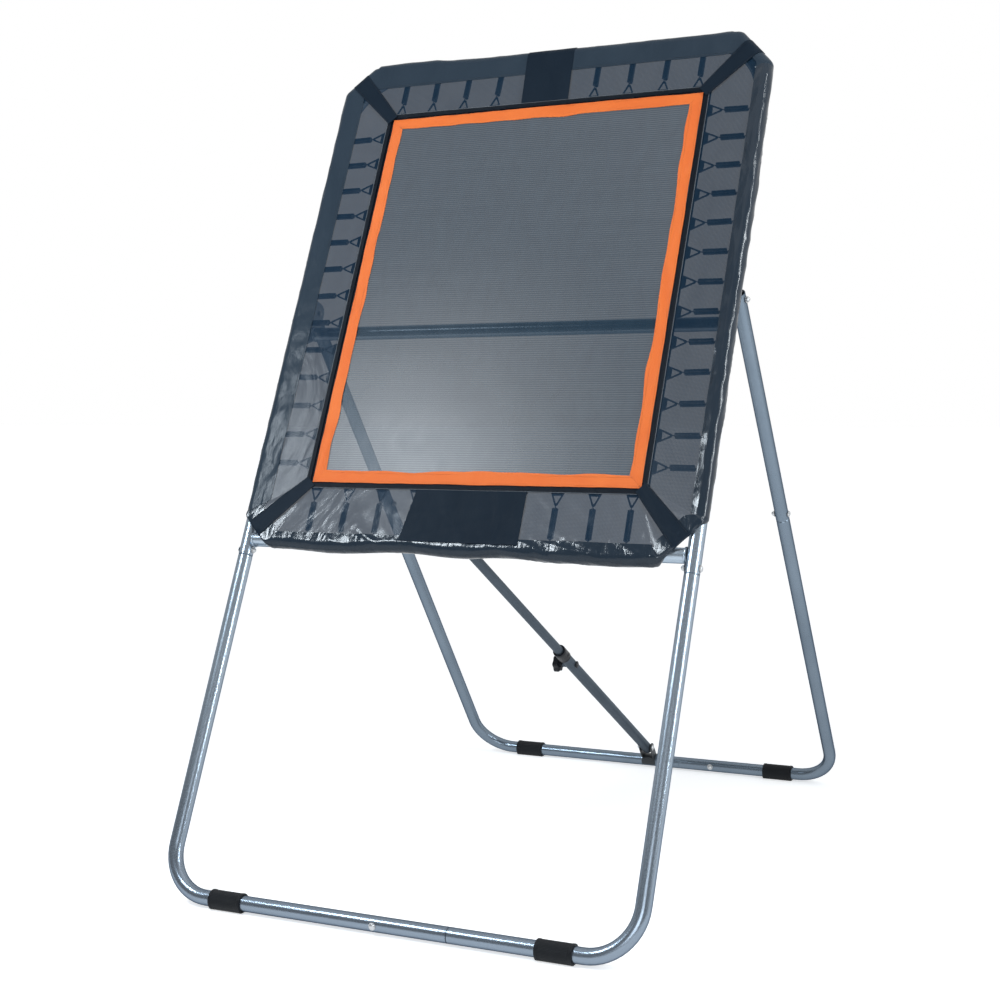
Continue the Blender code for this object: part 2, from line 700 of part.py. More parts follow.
stud = KNOB_THICK / 2 + KNOB_HUB + SLIDE_GAP + BOSS_HEIGHT + OUTER_R - INNER_R - SLIDE_GAP
combine(knob, rods(STUD_R, stud, [Matrix.Translation((0, 0, stud / 2))], 10), "UNION")

# Round cap of the lock on the strut's other face
cap_profile = [
    (0, CAP_THICK),
    (CAP_R - 0.0035, CAP_THICK),
    (CAP_R - 0.001, CAP_THICK - 0.001),
    (CAP_R, CAP_THICK - 0.0025),
    (CAP_R, GAP),
    (STUD_R - GAP, GAP),
    (STUD_R - GAP, -OUTER_WALL),
    (0, -OUTER_WALL),
]
turned("strut_lock_cap", cap_profile, 12, plastic, strut_axis, (OUTER_R, KNOB_STATION, 0), x_turn(1))

# Mat: the net, its webbing border and its hems with rings and springs
net_half = HEM_THICK / 2
net_u = mat_u - HEM_WIDTH - GAP
net_low = mat_low + HEM_WIDTH + GAP
net_high = mat_high - HEM_WIDTH - GAP


def box_outline(half, low, high):
    return [(-half, low), (half, low), (half, high), (-half, high)]


place("mat_net", flat([box_outline(net_u, net_low, net_high)], HEM_THICK), net, plane)
border_n = net_half + GAP + BORDER_THICK / 2
border_hole = box_outline(net_u - BORDER_WIDTH, net_low + BORDER_WIDTH, net_high - BORDER_WIDTH)
place("mat_border", flat([box_outline(net_u, net_low, net_high), border_hole], BORDER_THICK), orange, plane,
      (0, 0, border_n))


# Springs and rings are drawn with S from the mat's edge to the tube, T along the edge, and N out.
def spring_route(reach, t):
    start = RING_REACH - RING_WIRE * 0.7
    low = RING_REACH + HOOK
    high = reach - HOOK - HOOK_IN_TUBE
    route = [(start, t, 0), (low, t, 0)]
    steps = round(CURLS * CURL_POINTS)
    for step in range(1, steps + 1):
        turn = 2 * math.pi * step / CURL_POINTS
        s = low + (high - low) * step / (steps + 1)
        route.append((s, t + COIL_R * math.sin(turn), COIL_R * math.cos(turn)))
    route += [(high, t, 0), (reach + TUBE_WALL + HOOK_IN_TUBE, t, 0)]
    return route


def least_gap(route):
    spots = [Vector(spot) for spot in route[2:-2]]
    near = CURL_POINTS // 2
    apart = [
        (spots[second] - spots[first]).length
        for first in range(len(spots))
        for second in range(first + near, len(spots))
    ]
    return min(apart) - 2 * COIL_WIRE


# The hem and its triangular rings are one outline, seen from the front.
def hem_outlines(places, low, high):
    half = RING_WIDTH / 2
    hole_half = half - 1.6 * RING_WIRE
    edge = [(0, low)]
    holes = []
    for t in places:
        edge += [(0, t - half), (RING_REACH, t - RING_WIRE), (RING_REACH, t + RING_WIRE), (0, t + half)]
        holes.append([(RING_WIRE, t - hole_half), (RING_REACH - RING_WIRE, t), (RING_WIRE, t + hole_half)])
    edge += [(0, high), (-HEM_WIDTH, high - HEM_WIDTH), (-HEM_WIDTH, low + HEM_WIDTH)]
    return [edge] + holes


def spring_row(name, reach, places, span, origin, out, edge_way):
    basis = Matrix((
        (out[0], edge_way[0], 0, origin[0]),
        (out[1], edge_way[1], 0, origin[1]),
        (0, 0, 1, 0),
        (0, 0, 0, 1),
    ))
    hem = flat(hem_outlines(places, *span), HEM_THICK)
    springs = swept([even(spring_route(reach, t), COIL_WIRE) for t in places], 1, True)
    for mesh in (hem, springs):
        mesh.transform(basis)
        if basis.determinant() < 0:
            mesh.flip_normals()
    row = place(name, hem, spring_steel, plane)
    combine(row, springs, "UNION")


# A row's hem stops a little short of the mitre that it shares with the next row.
mitre = SEAM_GAP
side_span = (mat_low + mitre, mat_high - mitre)
end_span = (mitre - mat_u, mat_u - mitre)
spring_row("spring_row_left", SIDE_REACH, side_places, side_span, (-mat_u, 0), (-1, 0), (0, 1))
spring_row("spring_row_right", SIDE_REACH, side_places, side_span, (mat_u, 0), (1, 0), (0, 1))
spring_row("spring_row_top", TOP_REACH, end_places, end_span, (0, mat_high), (0, 1), (1, 0))
spring_row("spring_row_bottom", BOTTOM_REACH, end_places, end_span, (0, mat_low), (0, -1), (1, 0))
for name, reach in (("side", SIDE_REACH), ("top", TOP_REACH), ("bottom", BOTTOM_REACH)):
    print(f"{name} springs: least gap between curls {1000 * least_gap(spring_route(reach, 0)):.1f} mm")


# Cover: strips of vinyl wrapped round the tubes, and sheets over the springs
cover_r = TUBE_R + COVER_SLACK


def wrap(name, path, inward_of):
    turns = spread(WRAP_START, WRAP_END, WRAP_STEPS + 1)
    shape = bmesh.new()
    rows = []
    for spot, inward in zip(path, inward_of):
        across_way = -inward
        row = []
        for turn in turns:
            offset = (across_way * math.sin(turn) + Vector((0, 0, 1)) * math.cos(turn)) * cover_r
            row.append(shape.verts.new(spot + offset))
        rows.append(row)
    for first, second in zip(rows, rows[1:]):
        for step in range(WRAP_STEPS):
            shape.faces.new((first[step], first[step + 1], second[step + 1], second[step]))
    part = place(name, mesh_of(shape, name), vinyl, plane)
    thicken = part.modifiers.new("Skin", "SOLIDIFY")
    thicken.thickness = COVER_THICK
    thicken.offset = 0
    return part


side_low = LOWER_BAR_V + COVER_CUT_SIDE
hoop_start = TOP_BAR_V - HOOP_BEND
for name, side in (("left", -1), ("right", 1)):
    path = [Vector((side * side_u, v, 0)) for v in (side_low, hoop_start - SEAM_GAP)]
    if side > 0:
        path.reverse()
    wrap("cover_wrap_" + name, path, [Vector((-side, 0, 0))] * 2)
bottom_half = side_u - COVER_CUT_END
wrap("cover_wrap_bottom", [Vector((bottom_half, LOWER_BAR_V, 0)), Vector((-bottom_half, LOWER_BAR_V, 0))],
     [Vector((0, 1, 0))] * 2)
top_path = rounded([(-side_u, hoop_start - 0.001, 0), (-side_u, TOP_BAR_V, 0), (side_u, TOP_BAR_V, 0),
                    (side_u, hoop_start - 0.001, 0)], HOOP_BEND)[1:-1]
top_inward = []
for spot in top_path:
    centre = Vector((math.copysign(side_u - HOOP_BEND, spot.x), hoop_start, 0))
    top_inward.append((centre - spot).normalized())
wrap("cover_wrap_top", top_path, top_inward)

# Sheets run from the wraps' front edges down to the mat's hem.
edge_in = cover_r * math.sin(-WRAP_START) + SEAM_GAP
edge_n = cover_r * math.cos(WRAP_START)
sheet_n = net_half + GAP + SHEET_THICK / 2
sheet_u = mat_u - SHEET_OVERLAP
sheet_low = mat_low + SHEET_OVERLAP
sheet_high = mat_high - SHEET_OVERLAP
out_u = side_u - edge_in
out_low = LOWER_BAR_V + edge_in
out_high = TOP_BAR_V - edge_in


def shrunk(corners, amount):
    count = len(corners)
    middle = sum((Vector(corner[:2]) for corner in corners), Vector((0, 0))) / count
    moved = []
    for spot in range(count):
        here = Vector(corners[spot][:2])
        lines = []
        for other in (corners[spot - 1], corners[(spot + 1) % count]):
            way = (Vector(other[:2]) - here).normalized()
            normal = Vector((-way.y, way.x))
            if normal.dot(middle - here) < 0:
                normal.negate()
            lines.append(normal)
        first, second = lines
        moved.append(here + (first + second) * amount / (1 + first.dot(second)))
    return moved


def skin(name, faces, material):
    shape = bmesh.new()
    verts = {}
    for face in faces:
        for spot in face:
            if spot not in verts:
                verts[spot] = shape.verts.new(spot)
        shape.faces.new([verts[spot] for spot in face])
    bmesh.ops.recalc_face_normals(shape, faces=shape.faces)
    part = place(name, mesh_of(shape, name), material, plane)
    thicken = part.modifiers.new("Skin", "SOLIDIFY")
    thicken.thickness = SHEET_THICK
    thicken.offset = 0
    return part


def sheet(name, corners, material):
    first, second, third = (Vector(corner) for corner in corners[:3])
    normal = (second - first).cross(third - first)
    spots = []
    for spot in shrunk(corners, SEAM_GAP):
        drop = normal.x * (spot.x - first.x) + normal.y * (spot.y - first.y)
        spots.append((spot.x, spot.y, first.z - drop / normal.z))
    skin(name, [spots], material)


# An upper corner strap fans out from the mat's corner to the hoop's bend.
def upper_corner(name, side):
    centre = Vector((side_u - HOOP_BEND, hoop_start, edge_n))
    rim = HOOP_BEND - edge_in
    spots = [centre + Vector((x, y, 0)) for x, y in arc((0, 0), rim, 0, math.pi / 2, BEND_STEPS)]
    outline = shrunk(spots + [Vector(inner_high)], SEAM_GAP)
    rim_spots = [(side * spot.x, spot.y, edge_n) for spot in outline[:-1]]
    tip = (side * outline[-1].x, outline[-1].y, sheet_n)
    skin(name, [(tip, first, second) for first, second in zip(rim_spots, rim_spots[1:])], vinyl)


inner_low = (sheet_u, sheet_low, sheet_n)
inner_high = (sheet_u, sheet_high, sheet_n)
side_high = (out_u, hoop_start, edge_n)
top_side = (side_u - HOOP_BEND, out_high, edge_n)
corner_low_side = (out_u, side_low + SEAM_GAP, edge_n)
corner_low_end = (bottom_half - SEAM_GAP, out_low, edge_n)


def mirrored(corners, side):
    return [(side * u, v, n) for u, v, n in corners]


for name, side in (("left", -1), ("right", 1)):
    window_edge = [corner_low_side, side_high, inner_high, inner_low]
    sheet("cover_window_" + name, mirrored(window_edge, side), smoked)
    sheet("cover_corner_low_" + name, mirrored([corner_low_end, corner_low_side, inner_low], side), vinyl)
    upper_corner("cover_corner_high_" + name, side)
top_edge = [inner_high, top_side]
sheet("cover_window_top", top_edge + mirrored(reversed(top_edge), -1), smoked)
low_edge = [inner_low, corner_low_end]
sheet("cover_window_bottom", low_edge + mirrored(reversed(low_edge), -1), smoked)
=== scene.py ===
import math

import bpy
from mathutils import Matrix, Vector, noise


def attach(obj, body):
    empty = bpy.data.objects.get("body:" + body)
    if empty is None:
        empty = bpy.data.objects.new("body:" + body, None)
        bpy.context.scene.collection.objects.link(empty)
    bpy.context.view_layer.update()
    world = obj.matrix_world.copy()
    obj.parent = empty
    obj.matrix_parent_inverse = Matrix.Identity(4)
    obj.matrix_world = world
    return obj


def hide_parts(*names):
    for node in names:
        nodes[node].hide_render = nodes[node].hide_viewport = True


# Lacrosse rebounder: painted tube frame, sprung net with an orange border, wrapped vinyl cover, folding rear legs.
# Metres. The front frame is drawn in its own leaning plane: u across, v up the plane, n out of its face.
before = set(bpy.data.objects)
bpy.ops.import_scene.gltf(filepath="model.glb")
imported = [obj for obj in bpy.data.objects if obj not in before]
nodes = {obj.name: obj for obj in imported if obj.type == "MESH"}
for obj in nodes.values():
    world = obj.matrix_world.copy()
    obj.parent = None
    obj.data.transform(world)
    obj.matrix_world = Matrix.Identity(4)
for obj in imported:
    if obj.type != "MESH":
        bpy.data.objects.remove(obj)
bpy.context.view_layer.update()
bpy.ops.object.select_all(action="DESELECT")
noise.seed_set(4)
print("frame loaded")

lean = math.radians(25.4)
halfDepth = 0.8325  # from the middle to either floor bar
axisHeight = 0.021  # of the floor bars
planeMatrix = Matrix((
    (1, 0, 0, 0),
    (0, math.sin(lean), -math.cos(lean), -halfDepth),
    (0, math.cos(lean), math.sin(lean), axisHeight),
    (0, 0, 0, 1),
))


def inPlane(u, v, n=0.0):
    return planeMatrix @ Vector((u, v, n))


# Camera: from the front right, a little above the middle, rolled by less than a degree
camera = dict(place=(1.764256, -3.867854, 1.2257), azimuth=25.798088, elevation=4.428766, roll=-0.769416,
              lens=58.71, sensor=36)
a, e, r = (math.radians(camera[k]) for k in ("azimuth", "elevation", "roll"))
ahead = Vector((-math.sin(a) * math.cos(e), math.cos(a) * math.cos(e), -math.sin(e)))
right = Vector((math.cos(a), math.sin(a), 0))
up = right.cross(ahead)
right, up = math.cos(r) * right + math.sin(r) * up, -math.sin(r) * right + math.cos(r) * up
bpy.ops.object.camera_add(location=camera["place"])
cam = bpy.context.object
cam.matrix_world = Matrix.Translation(camera["place"]) @ Matrix((right, up, -ahead)).transposed().to_4x4()
cam.data.lens = camera["lens"]
cam.data.sensor_width = camera["sensor"]
bpy.context.scene.camera = cam


# Shader helpers
def node(tree, kind, links=None, **settings):
    made = tree.nodes.new(kind)
    for key, value in settings.items():
        setattr(made, key, value)
    for key, value in (links or {}).items():
        if isinstance(value, bpy.types.NodeSocket):
            tree.links.new(value, made.inputs[key])
        else:
            made.inputs[key].default_value = value
    return made


def newGroup(name, inputs, outputs):
    group = bpy.data.node_groups.new(name, "ShaderNodeTree")
    for label, value in inputs.items():
        socket = group.interface.new_socket(name=label, in_out="INPUT", socket_type="NodeSocketFloat")
        socket.default_value = value
    for label in outputs:
        group.interface.new_socket(name=label, in_out="OUTPUT", socket_type="NodeSocketFloat")
    return group, group.nodes.new("NodeGroupInput").outputs


def putOut(group, *results):
    node(group, "NodeGroupOutput", dict(enumerate(results)))


def placed(tree, group, **links):
    return node(tree, "ShaderNodeGroup", links, node_tree=group).outputs


def math2(tree, operation, *values):
    return node(tree, "ShaderNodeMath", dict(enumerate(values)), operation=operation).outputs[0]


def mixed(tree, factor, first, second):
    ends = {6 + k: (*end, 1) if isinstance(end, tuple) else end for k, end in enumerate((first, second))}
    return node(tree, "ShaderNodeMix", {0: factor, **ends}, data_type="RGBA").outputs[2]


def ranged(tree, value, start=0.0, end=1.0, low=0.0, high=1.0, **settings):
    return node(tree, "ShaderNodeMapRange", {0: value, 1: start, 2: end, 3: low, 4: high}, **settings).outputs[0]


def cloudy(tree, place, scale, detail, **more):
    links = {"Vector": place, "Scale": scale, "Detail": detail, **more}
    return node(tree, "ShaderNodeTexNoise", links).outputs["Fac"]


def drawnOut(tree, place, scale):
    return node(tree, "ShaderNodeMapping", {"Vector": place, "Scale": scale}).outputs[0]


def solidPlace(tree):
    return node(tree, "ShaderNodeTexCoord").outputs["Object"]


def clothPlace(tree):  # a sheet's own UV map, laid out in metres
    return node(tree, "ShaderNodeUVMap", uv_map="flat").outputs[0]


# Cloudy variation and a fine grain, for paint, plastic and rubber
cloudGroup, given = newGroup("cloud and grain", dict(Scale=6.0, Grain=900.0), ("Cloud", "Grain"))
place = solidPlace(cloudGroup)
putOut(cloudGroup, cloudy(cloudGroup, place, given[0], 4.0), cloudy(cloudGroup, place, given[1], 2.0))

# Scuffs: thin scattered marks where the noise is highest
scuffGroup, given = newGroup("scuffs", dict(Scale=40.0, Amount=0.5), ("Mask",))
place = drawnOut(scuffGroup, solidPlace(scuffGroup), (1.0, 0.35, 0.35))
marks = cloudy(scuffGroup, place, given[0], 6.0, Roughness=0.7)
edge = math2(scuffGroup, "SUBTRACT", 0.78, math2(scuffGroup, "MULTIPLY", given[1], 0.12))
putOut(scuffGroup, ranged(scuffGroup, marks, edge, 0.82))

# Woven threads, and the holes between them
weaveGroup, given = newGroup("weave", dict(Across=500.0, Along=500.0), ("Height", "Hole"))
apart = node(weaveGroup, "ShaderNodeSeparateXYZ", {0: clothPlace(weaveGroup)}).outputs
threads = []
for k in range(2):
    turns = math2(weaveGroup, "MULTIPLY", given[k], 2 * math.pi)
    threads.append(math2(weaveGroup, "SINE", math2(weaveGroup, "MULTIPLY", apart[k], turns)))
over = math2(weaveGroup, "MULTIPLY", *threads)
bothHigh = math2(weaveGroup, "MINIMUM", *threads)
putOut(weaveGroup, math2(weaveGroup, "MULTIPLY_ADD", over, 0.5, 0.5), ranged(weaveGroup, bothHigh, -0.2, 0.5))

# Slow folds and fine creases, for all cloth
foldGroup, given = newGroup("folds", dict(Scale=9.0, Crease=60.0), ("Fold", "Crease"))
place = drawnOut(foldGroup, clothPlace(foldGroup), (1.0, 0.45, 1.0))
putOut(foldGroup, cloudy(foldGroup, place, given[0], 3.0, Distortion=1.2),
       cloudy(foldGroup, place, given[1], 5.0, Distortion=0.6))

# Uneven weft: lines across the net, some tighter and some more open
lineGroup, given = newGroup("weft lines", dict(Strength=0.0), ("Factor",))
place = clothPlace(lineGroup)
weft = cloudy(lineGroup, drawnOut(lineGroup, place, (1.6, 190.0, 1.0)), 1.0, 3.0)
streak = cloudy(lineGroup, drawnOut(lineGroup, place, (0.9, 24.0, 1.0)), 1.0, 2.0)
both = math2(lineGroup, "MULTIPLY_ADD", streak, 0.6, weft)
swing = math2(lineGroup, "MULTIPLY", math2(lineGroup, "SUBTRACT", both, 0.8), 4.0)
putOut(lineGroup, math2(lineGroup, "MULTIPLY_ADD", swing, given[0], 1.0))


def startMaterial(name, settings):
    material = bpy.data.materials.new(name)
    material.use_nodes = True
    tree = material.node_tree
    shader = tree.nodes["Principled BSDF"]
    for key, value in settings.items():
        shader.inputs[key].default_value = value
    return material, tree, shader


# Every finish has a colour, a roughness that a pattern swings about its middle value, and a bump
def dressed(tree, shader, m, colour, pattern, height):
    rough = ranged(tree, pattern, low=m["rough"] - m["smoother"], high=m["rough"] + m["rougher"])
    bump = node(tree, "ShaderNodeBump", {"Height": height, "Strength": m["bump"], "Distance": m["bumpDeep"]})
    for key, socket in (("Base Color", colour), ("Roughness", rough), ("Normal", bump.outputs[0])):
        tree.links.new(socket, shader.inputs[key])


# Painted or plated metal: light and dark clouds, a fine grain, worn marks that show brighter metal, and where asked,
# painted shade that darkens the paint towards the floor
metal = dict(cloud=7.0, grain=1400.0, scuffScale=45.0, scuffs=0.4, wear=0.5, edge=(1, 1, 1), smoother=0.05,
             rougher=0.07, bump=0.15, bumpDeep=0.0004, shadedTo=0.7)


def metalMaterial(name, **own):
    m = {**metal, **own}
    material, tree, shader = startMaterial(name, {"Metallic": m["metallic"], "Specular Tint": (*m["edge"], 1)})
    cloud, grain = placed(tree, cloudGroup, Scale=m["cloud"], Grain=m["grain"])
    marks = placed(tree, scuffGroup, Scale=m["scuffScale"], Amount=m["scuffs"])[0]
    tone = mixed(tree, cloud, m["dark"], m["light"])
    # painted shade: the tone darkens towards the floor, up to the height shadedTo
    if "nearFloor" in m:
        height = node(tree, "ShaderNodeSeparateXYZ", {0: solidPlace(tree)}).outputs[2]
        risen = ranged(tree, height, 0.0, m["shadedTo"], interpolation_type="SMOOTHSTEP")
        tone = mixed(tree, risen, m["nearFloor"], tone)
    worn = mixed(tree, math2(tree, "MULTIPLY", marks, m["wear"]), tone, m["bare"])
    dressed(tree, shader, m, worn, grain, grain)
    return material


# front frame paint, with painted shade on the low tubes near the floor
tubePaint = metalMaterial(
    "silver powder paint", dark=(0.33, 0.39, 0.455), light=(0.44, 0.515, 0.595), bare=(0.68, 0.72, 0.76),
    metallic=0.9, rough=0.25, edge=(0.05, 0.07, 0.10), nearFloor=(0.225, 0.270, 0.325))
# the silver tube paint made darker for the whole rear frame: painted shade
rearShadedPaint = metalMaterial(
    "silver powder paint with painted shade", dark=(0.15, 0.19, 0.235), light=(0.22, 0.27, 0.325), bare=(0.58, 0.62, 0.66),
    metallic=0.85, rough=0.27, edge=(0.08, 0.10, 0.13))
strutPaint = metalMaterial(
    "slate strut paint", dark=(0.052, 0.066, 0.082), light=(0.10, 0.122, 0.148), bare=(0.44, 0.49, 0.54),
    metallic=0.6, rough=0.34, edge=(0.30, 0.34, 0.38))
bracketPaint = metalMaterial(
    "dark bracket paint", dark=(0.018, 0.022, 0.026), light=(0.04, 0.046, 0.052), bare=(0.22, 0.23, 0.24),
    metallic=0.3, rough=0.45, scuffs=0.6)
plateSteel = metalMaterial(
    "plated bracket steel", dark=(0.33, 0.37, 0.41), light=(0.47, 0.51, 0.55), bare=(0.68, 0.70, 0.72),
    metallic=0.75, rough=0.36)
zincPlate = metalMaterial(
    "zinc bolt plating", dark=(0.42, 0.43, 0.44), light=(0.62, 0.63, 0.64), bare=(0.75, 0.74, 0.70),
    metallic=0.9, rough=0.30, cloud=40.0, grain=2500.0)
springWire = metalMaterial(
    "dark spring wire", dark=(0.055, 0.06, 0.07), light=(0.14, 0.15, 0.165), bare=(0.60, 0.62, 0.65),
    metallic=0.85, rough=0.28, cloud=60.0, scuffs=0.9, wear=0.8)


# Moulded rubber or plastic: a fine grain, with dust in the scuffs
moulded = dict(cloud=18.0, scuffScale=60.0, scuffs=0.6, dusty=0.35, smoother=0.08, rougher=0.08, bumpDeep=0.0005)


def mouldedMaterial(name, **own):
    m = {**moulded, **own}
    material, tree, shader = startMaterial(name, {"Specular IOR Level": m["specular"]})
    cloud, grain = placed(tree, cloudGroup, Scale=m["cloud"], Grain=m["grain"])
    marks = placed(tree, scuffGroup, Scale=m["scuffScale"], Amount=m["scuffs"])[0]
    tone = mixed(tree, cloud, m["dark"], m["light"])
    dusty = mixed(tree, math2(tree, "MULTIPLY", marks, m["dusty"]), tone, m["dust"])
    dressed(tree, shader, m, dusty, grain, grain)
    return material


rubber = mouldedMaterial(
    "black rubber", dark=(0.002, 0.003, 0.005), light=(0.006, 0.008, 0.011), dust=(0.06, 0.06, 0.06),
    rough=0.55, grain=1800.0, bump=0.5, specular=0.22)
plastic = mouldedMaterial(
    "black moulded plastic", dark=(0.004, 0.005, 0.008), light=(0.009, 0.011, 0.015), dust=(0.055, 0.060, 0.066),
    rough=0.36, grain=2600.0, bump=0.25, specular=0.25)


# All cloth has woven threads and folds; its depths are in metres
def startCloth(name, m, **settings):
    material, tree, shader = startMaterial(name, {"Specular IOR Level": m["specular"], **settings})
    weave = placed(tree, weaveGroup, Across=m["threads"][0], Along=m["threads"][1])
    folds = placed(tree, foldGroup, Scale=m["fold"], Crease=m["crease"])
    return material, tree, shader, *weave, *folds


def threadsAndFolds(tree, m, weave, fold):
    return math2(tree, "MULTIPLY_ADD", weave, m["threadDeep"], math2(tree, "MULTIPLY", fold, m["foldDeep"]))


# Vinyl and coated cloth: near black, with a fine weave, folds and creases
sheeting = dict(threads=(420.0, 420.0), threadDeep=0.00002, smoother=0.08, rougher=0.14, bump=1.0, bumpDeep=1.0)


def vinylMaterial(name, **own):
    m = {**sheeting, **own}
    material, tree, shader, weave, hole, fold, crease = startCloth(name, m)
    height = math2(tree, "MULTIPLY_ADD", crease, m["creaseDeep"], math2(tree, "MULTIPLY", weave, m["threadDeep"]))
    height = math2(tree, "MULTIPLY_ADD", fold, m["foldDeep"], height)
    dressed(tree, shader, m, mixed(tree, fold, m["dark"], m["light"]), crease, height)
    return material


# lighter than the glossy and creased vinyls: painted light on the left and top bands
vinyl = vinylMaterial(
    "lighter slate vinyl with painted light", dark=(0.023, 0.035, 0.050), light=(0.034, 0.049, 0.067), rough=0.18, specular=0.065,
    fold=10.0, crease=44.0, foldDeep=0.0042, creaseDeep=0.0008)
glossyVinyl = vinylMaterial(
    "glossy black vinyl", dark=(0.011, 0.020, 0.032), light=(0.019, 0.031, 0.046), rough=0.15, specular=0.42,
    fold=9.0, crease=44.0, foldDeep=0.0034, creaseDeep=0.0008)
creasedVinyl = vinylMaterial(
    "creased black vinyl", dark=(0.011, 0.020, 0.032), light=(0.019, 0.031, 0.046), rough=0.13, specular=0.27,
    fold=12.0, crease=60.0, foldDeep=0.0048, creaseDeep=0.0012)
panelCloth = vinylMaterial(
    "coated panel cloth", dark=(0.007, 0.013, 0.022), light=(0.013, 0.022, 0.034), rough=0.44, specular=0.04,
    fold=8.0, crease=40.0, foldDeep=0.004, creaseDeep=0.0010, threads=(520.0, 520.0), threadDeep=0.00006)
hemTape = vinylMaterial(
    "black hem tape", dark=(0.003, 0.005, 0.009), light=(0.007, 0.011, 0.017), rough=0.44, specular=0.08,
    fold=20.0, crease=90.0, foldDeep=0.003, creaseDeep=0.0008, threads=(600.0, 600.0), threadDeep=0.0001)


# See-through cloth: the weave opens it a little, and how much it lets through varies slowly over the piece; round one
# spot the net lets more white through, a painted pool of light
openCloth = dict(fold=9.0, crease=50.0, threads=(300.0, 300.0), open=0.06, uneven=0.03, lines=0.0, smoother=0.04,
                 rougher=0.06, bump=1.0, bumpDeep=1.0)


def openMaterial(name, **own):
    m = {**openCloth, **own}
    material, tree, shader, weave, hole, fold, crease = startCloth(name, m)
    material.surface_render_method = "BLENDED"
    lines = placed(tree, lineGroup, Strength=m["lines"])[0]
    tone = mixed(tree, math2(tree, "MULTIPLY", crease, lines), m["dark"], m["light"])
    through = math2(tree, "MULTIPLY", math2(tree, "MULTIPLY", hole, lines), m["open"])
    steady = math2(tree, "MULTIPLY_ADD", fold, m["uneven"], m["veil"])
    # painted glow: round one spot the cloth lets more of the white behind it through, a pool of light
    if "slack" in m:
        away = node(tree, "ShaderNodeVectorMath", {0: clothPlace(tree), 1: (*m["slack"]["at"], 0)},
                    operation="DISTANCE").outputs["Value"]
        paintedGlowOpening = ranged(tree, away, 0.0, m["slack"]["reach"], m["slack"]["more"], 0.0,
                        interpolation_type="SMOOTHSTEP")
        steady = math2(tree, "ADD", steady, paintedGlowOpening)
    alpha = math2(tree, "SUBTRACT", math2(tree, "SUBTRACT", 1.0, steady), through)
    tree.links.new(alpha, shader.inputs["Alpha"])
    dressed(tree, shader, m, tone, crease, threadsAndFolds(tree, m, weave, fold))
    return material


netCloth = openMaterial(
    "open weave net", dark=(0.009, 0.025, 0.044), light=(0.018, 0.040, 0.063), rough=0.28, fold=5.0, crease=34.0,
    open=0.10, veil=0.069, uneven=0.0, threads=(420.0, 170.0), threadDeep=0.00002, foldDeep=0.0003,
    specular=0.15, lines=0.13, slack=dict(at=(-0.18, 1.09), reach=0.72, more=0.080))
windowCloth = openMaterial(
    "smoked window mesh", dark=(0.005, 0.018, 0.036), light=(0.012, 0.028, 0.050), rough=0.32,
    veil=0.053, threadDeep=0.00002, foldDeep=0.0024, specular=0.045)
# a lighter copy of the window mesh for the left windows: its sheen is the finish, the extra white through it is
# painted light
litSatinWindow = openMaterial(
    "satin window mesh with painted light", dark=(0.006, 0.019, 0.038), light=(0.013, 0.030, 0.053), rough=0.22,
    veil=0.062, threadDeep=0.00001, foldDeep=0.0032, specular=0.07)
# a lighter copy of the window mesh for the bottom windows: its gloss is the finish, the extra white through it is
# painted light
litGlossWindow = openMaterial(
    "glossy window mesh with painted light", dark=(0.007, 0.021, 0.041), light=(0.015, 0.033, 0.058), rough=0.17,
    veil=0.070, threadDeep=0.00001, foldDeep=0.0032, specular=0.14)


# Webbing and thread: fine ribs, and painted shade that darkens the colour in the hollows of the weave
webbing = dict(specular=0.30, sheen=0.04, sheenRough=0.4, threads=(360.0, 700.0), fold=12.0, crease=130.0, shade=0.45,
               threadDeep=0.00022, foldDeep=0.006, rough=0.50, smoother=0.12, rougher=0.12, bump=1.0, bumpDeep=1.0)


def webbingMaterial(name, dark, light, deep):
    m = webbing
    material, tree, shader, weave, hole, fold, crease = startCloth(
        name, m, **{"Sheen Weight": m["sheen"], "Sheen Roughness": m["sheenRough"]})
    # painted shade: the deep colour is mixed in by the weave, darkening its hollows
    shaded = mixed(tree, math2(tree, "MULTIPLY", weave, m["shade"]), mixed(tree, fold, dark, light), deep)
    dressed(tree, shader, m, shaded, crease, threadsAndFolds(tree, m, weave, fold))
    return material


orangeWebbing = webbingMaterial("orange webbing", (0.78, 0.138, 0.018), (0.94, 0.240, 0.044), (0.50, 0.052, 0.004))
threadMaterial = webbingMaterial("sewing thread", (0.75, 0.14, 0.03), (0.95, 0.30, 0.10), (0.60, 0.09, 0.02))
blackThread = webbingMaterial("dark sewing thread", (0.012, 0.016, 0.022), (0.040, 0.048, 0.060),
                              (0.008, 0.010, 0.014))
# the light grey of the piping is partly a painted highlight along the hem's edge
pipingCloth = webbingMaterial("grey piping with painted highlight", (0.040, 0.050, 0.062), (0.14, 0.16, 0.185), (0.03, 0.035, 0.045))
print("materials made")


# Modelling helpers
def only(*pieces):
    bpy.ops.object.select_all(action="DESELECT")
    for piece in pieces:
        piece.select_set(True)
    bpy.context.view_layer.objects.active = pieces[0]


def applyPlace():
    bpy.ops.object.transform_apply(location=True, rotation=True, scale=True)


def finished(piece, material, body="front_frame", replaces=(), smooth=40.0):
    only(piece)
    applyPlace()
    if smooth:
        bpy.ops.object.shade_smooth_by_angle(angle=math.radians(smooth))
    if not piece.data.materials:
        piece.data.materials.append(material)
    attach(piece, body)
    if replaces:
        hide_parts(*replaces)
    return piece


def linked(name, data):
    piece = bpy.data.objects.new(name, data)
    bpy.context.scene.collection.objects.link(piece)
    return piece


def joined(pieces, name):
    only(*pieces)
    bpy.ops.object.join()
    made = bpy.context.object
    made.name = name
    return made


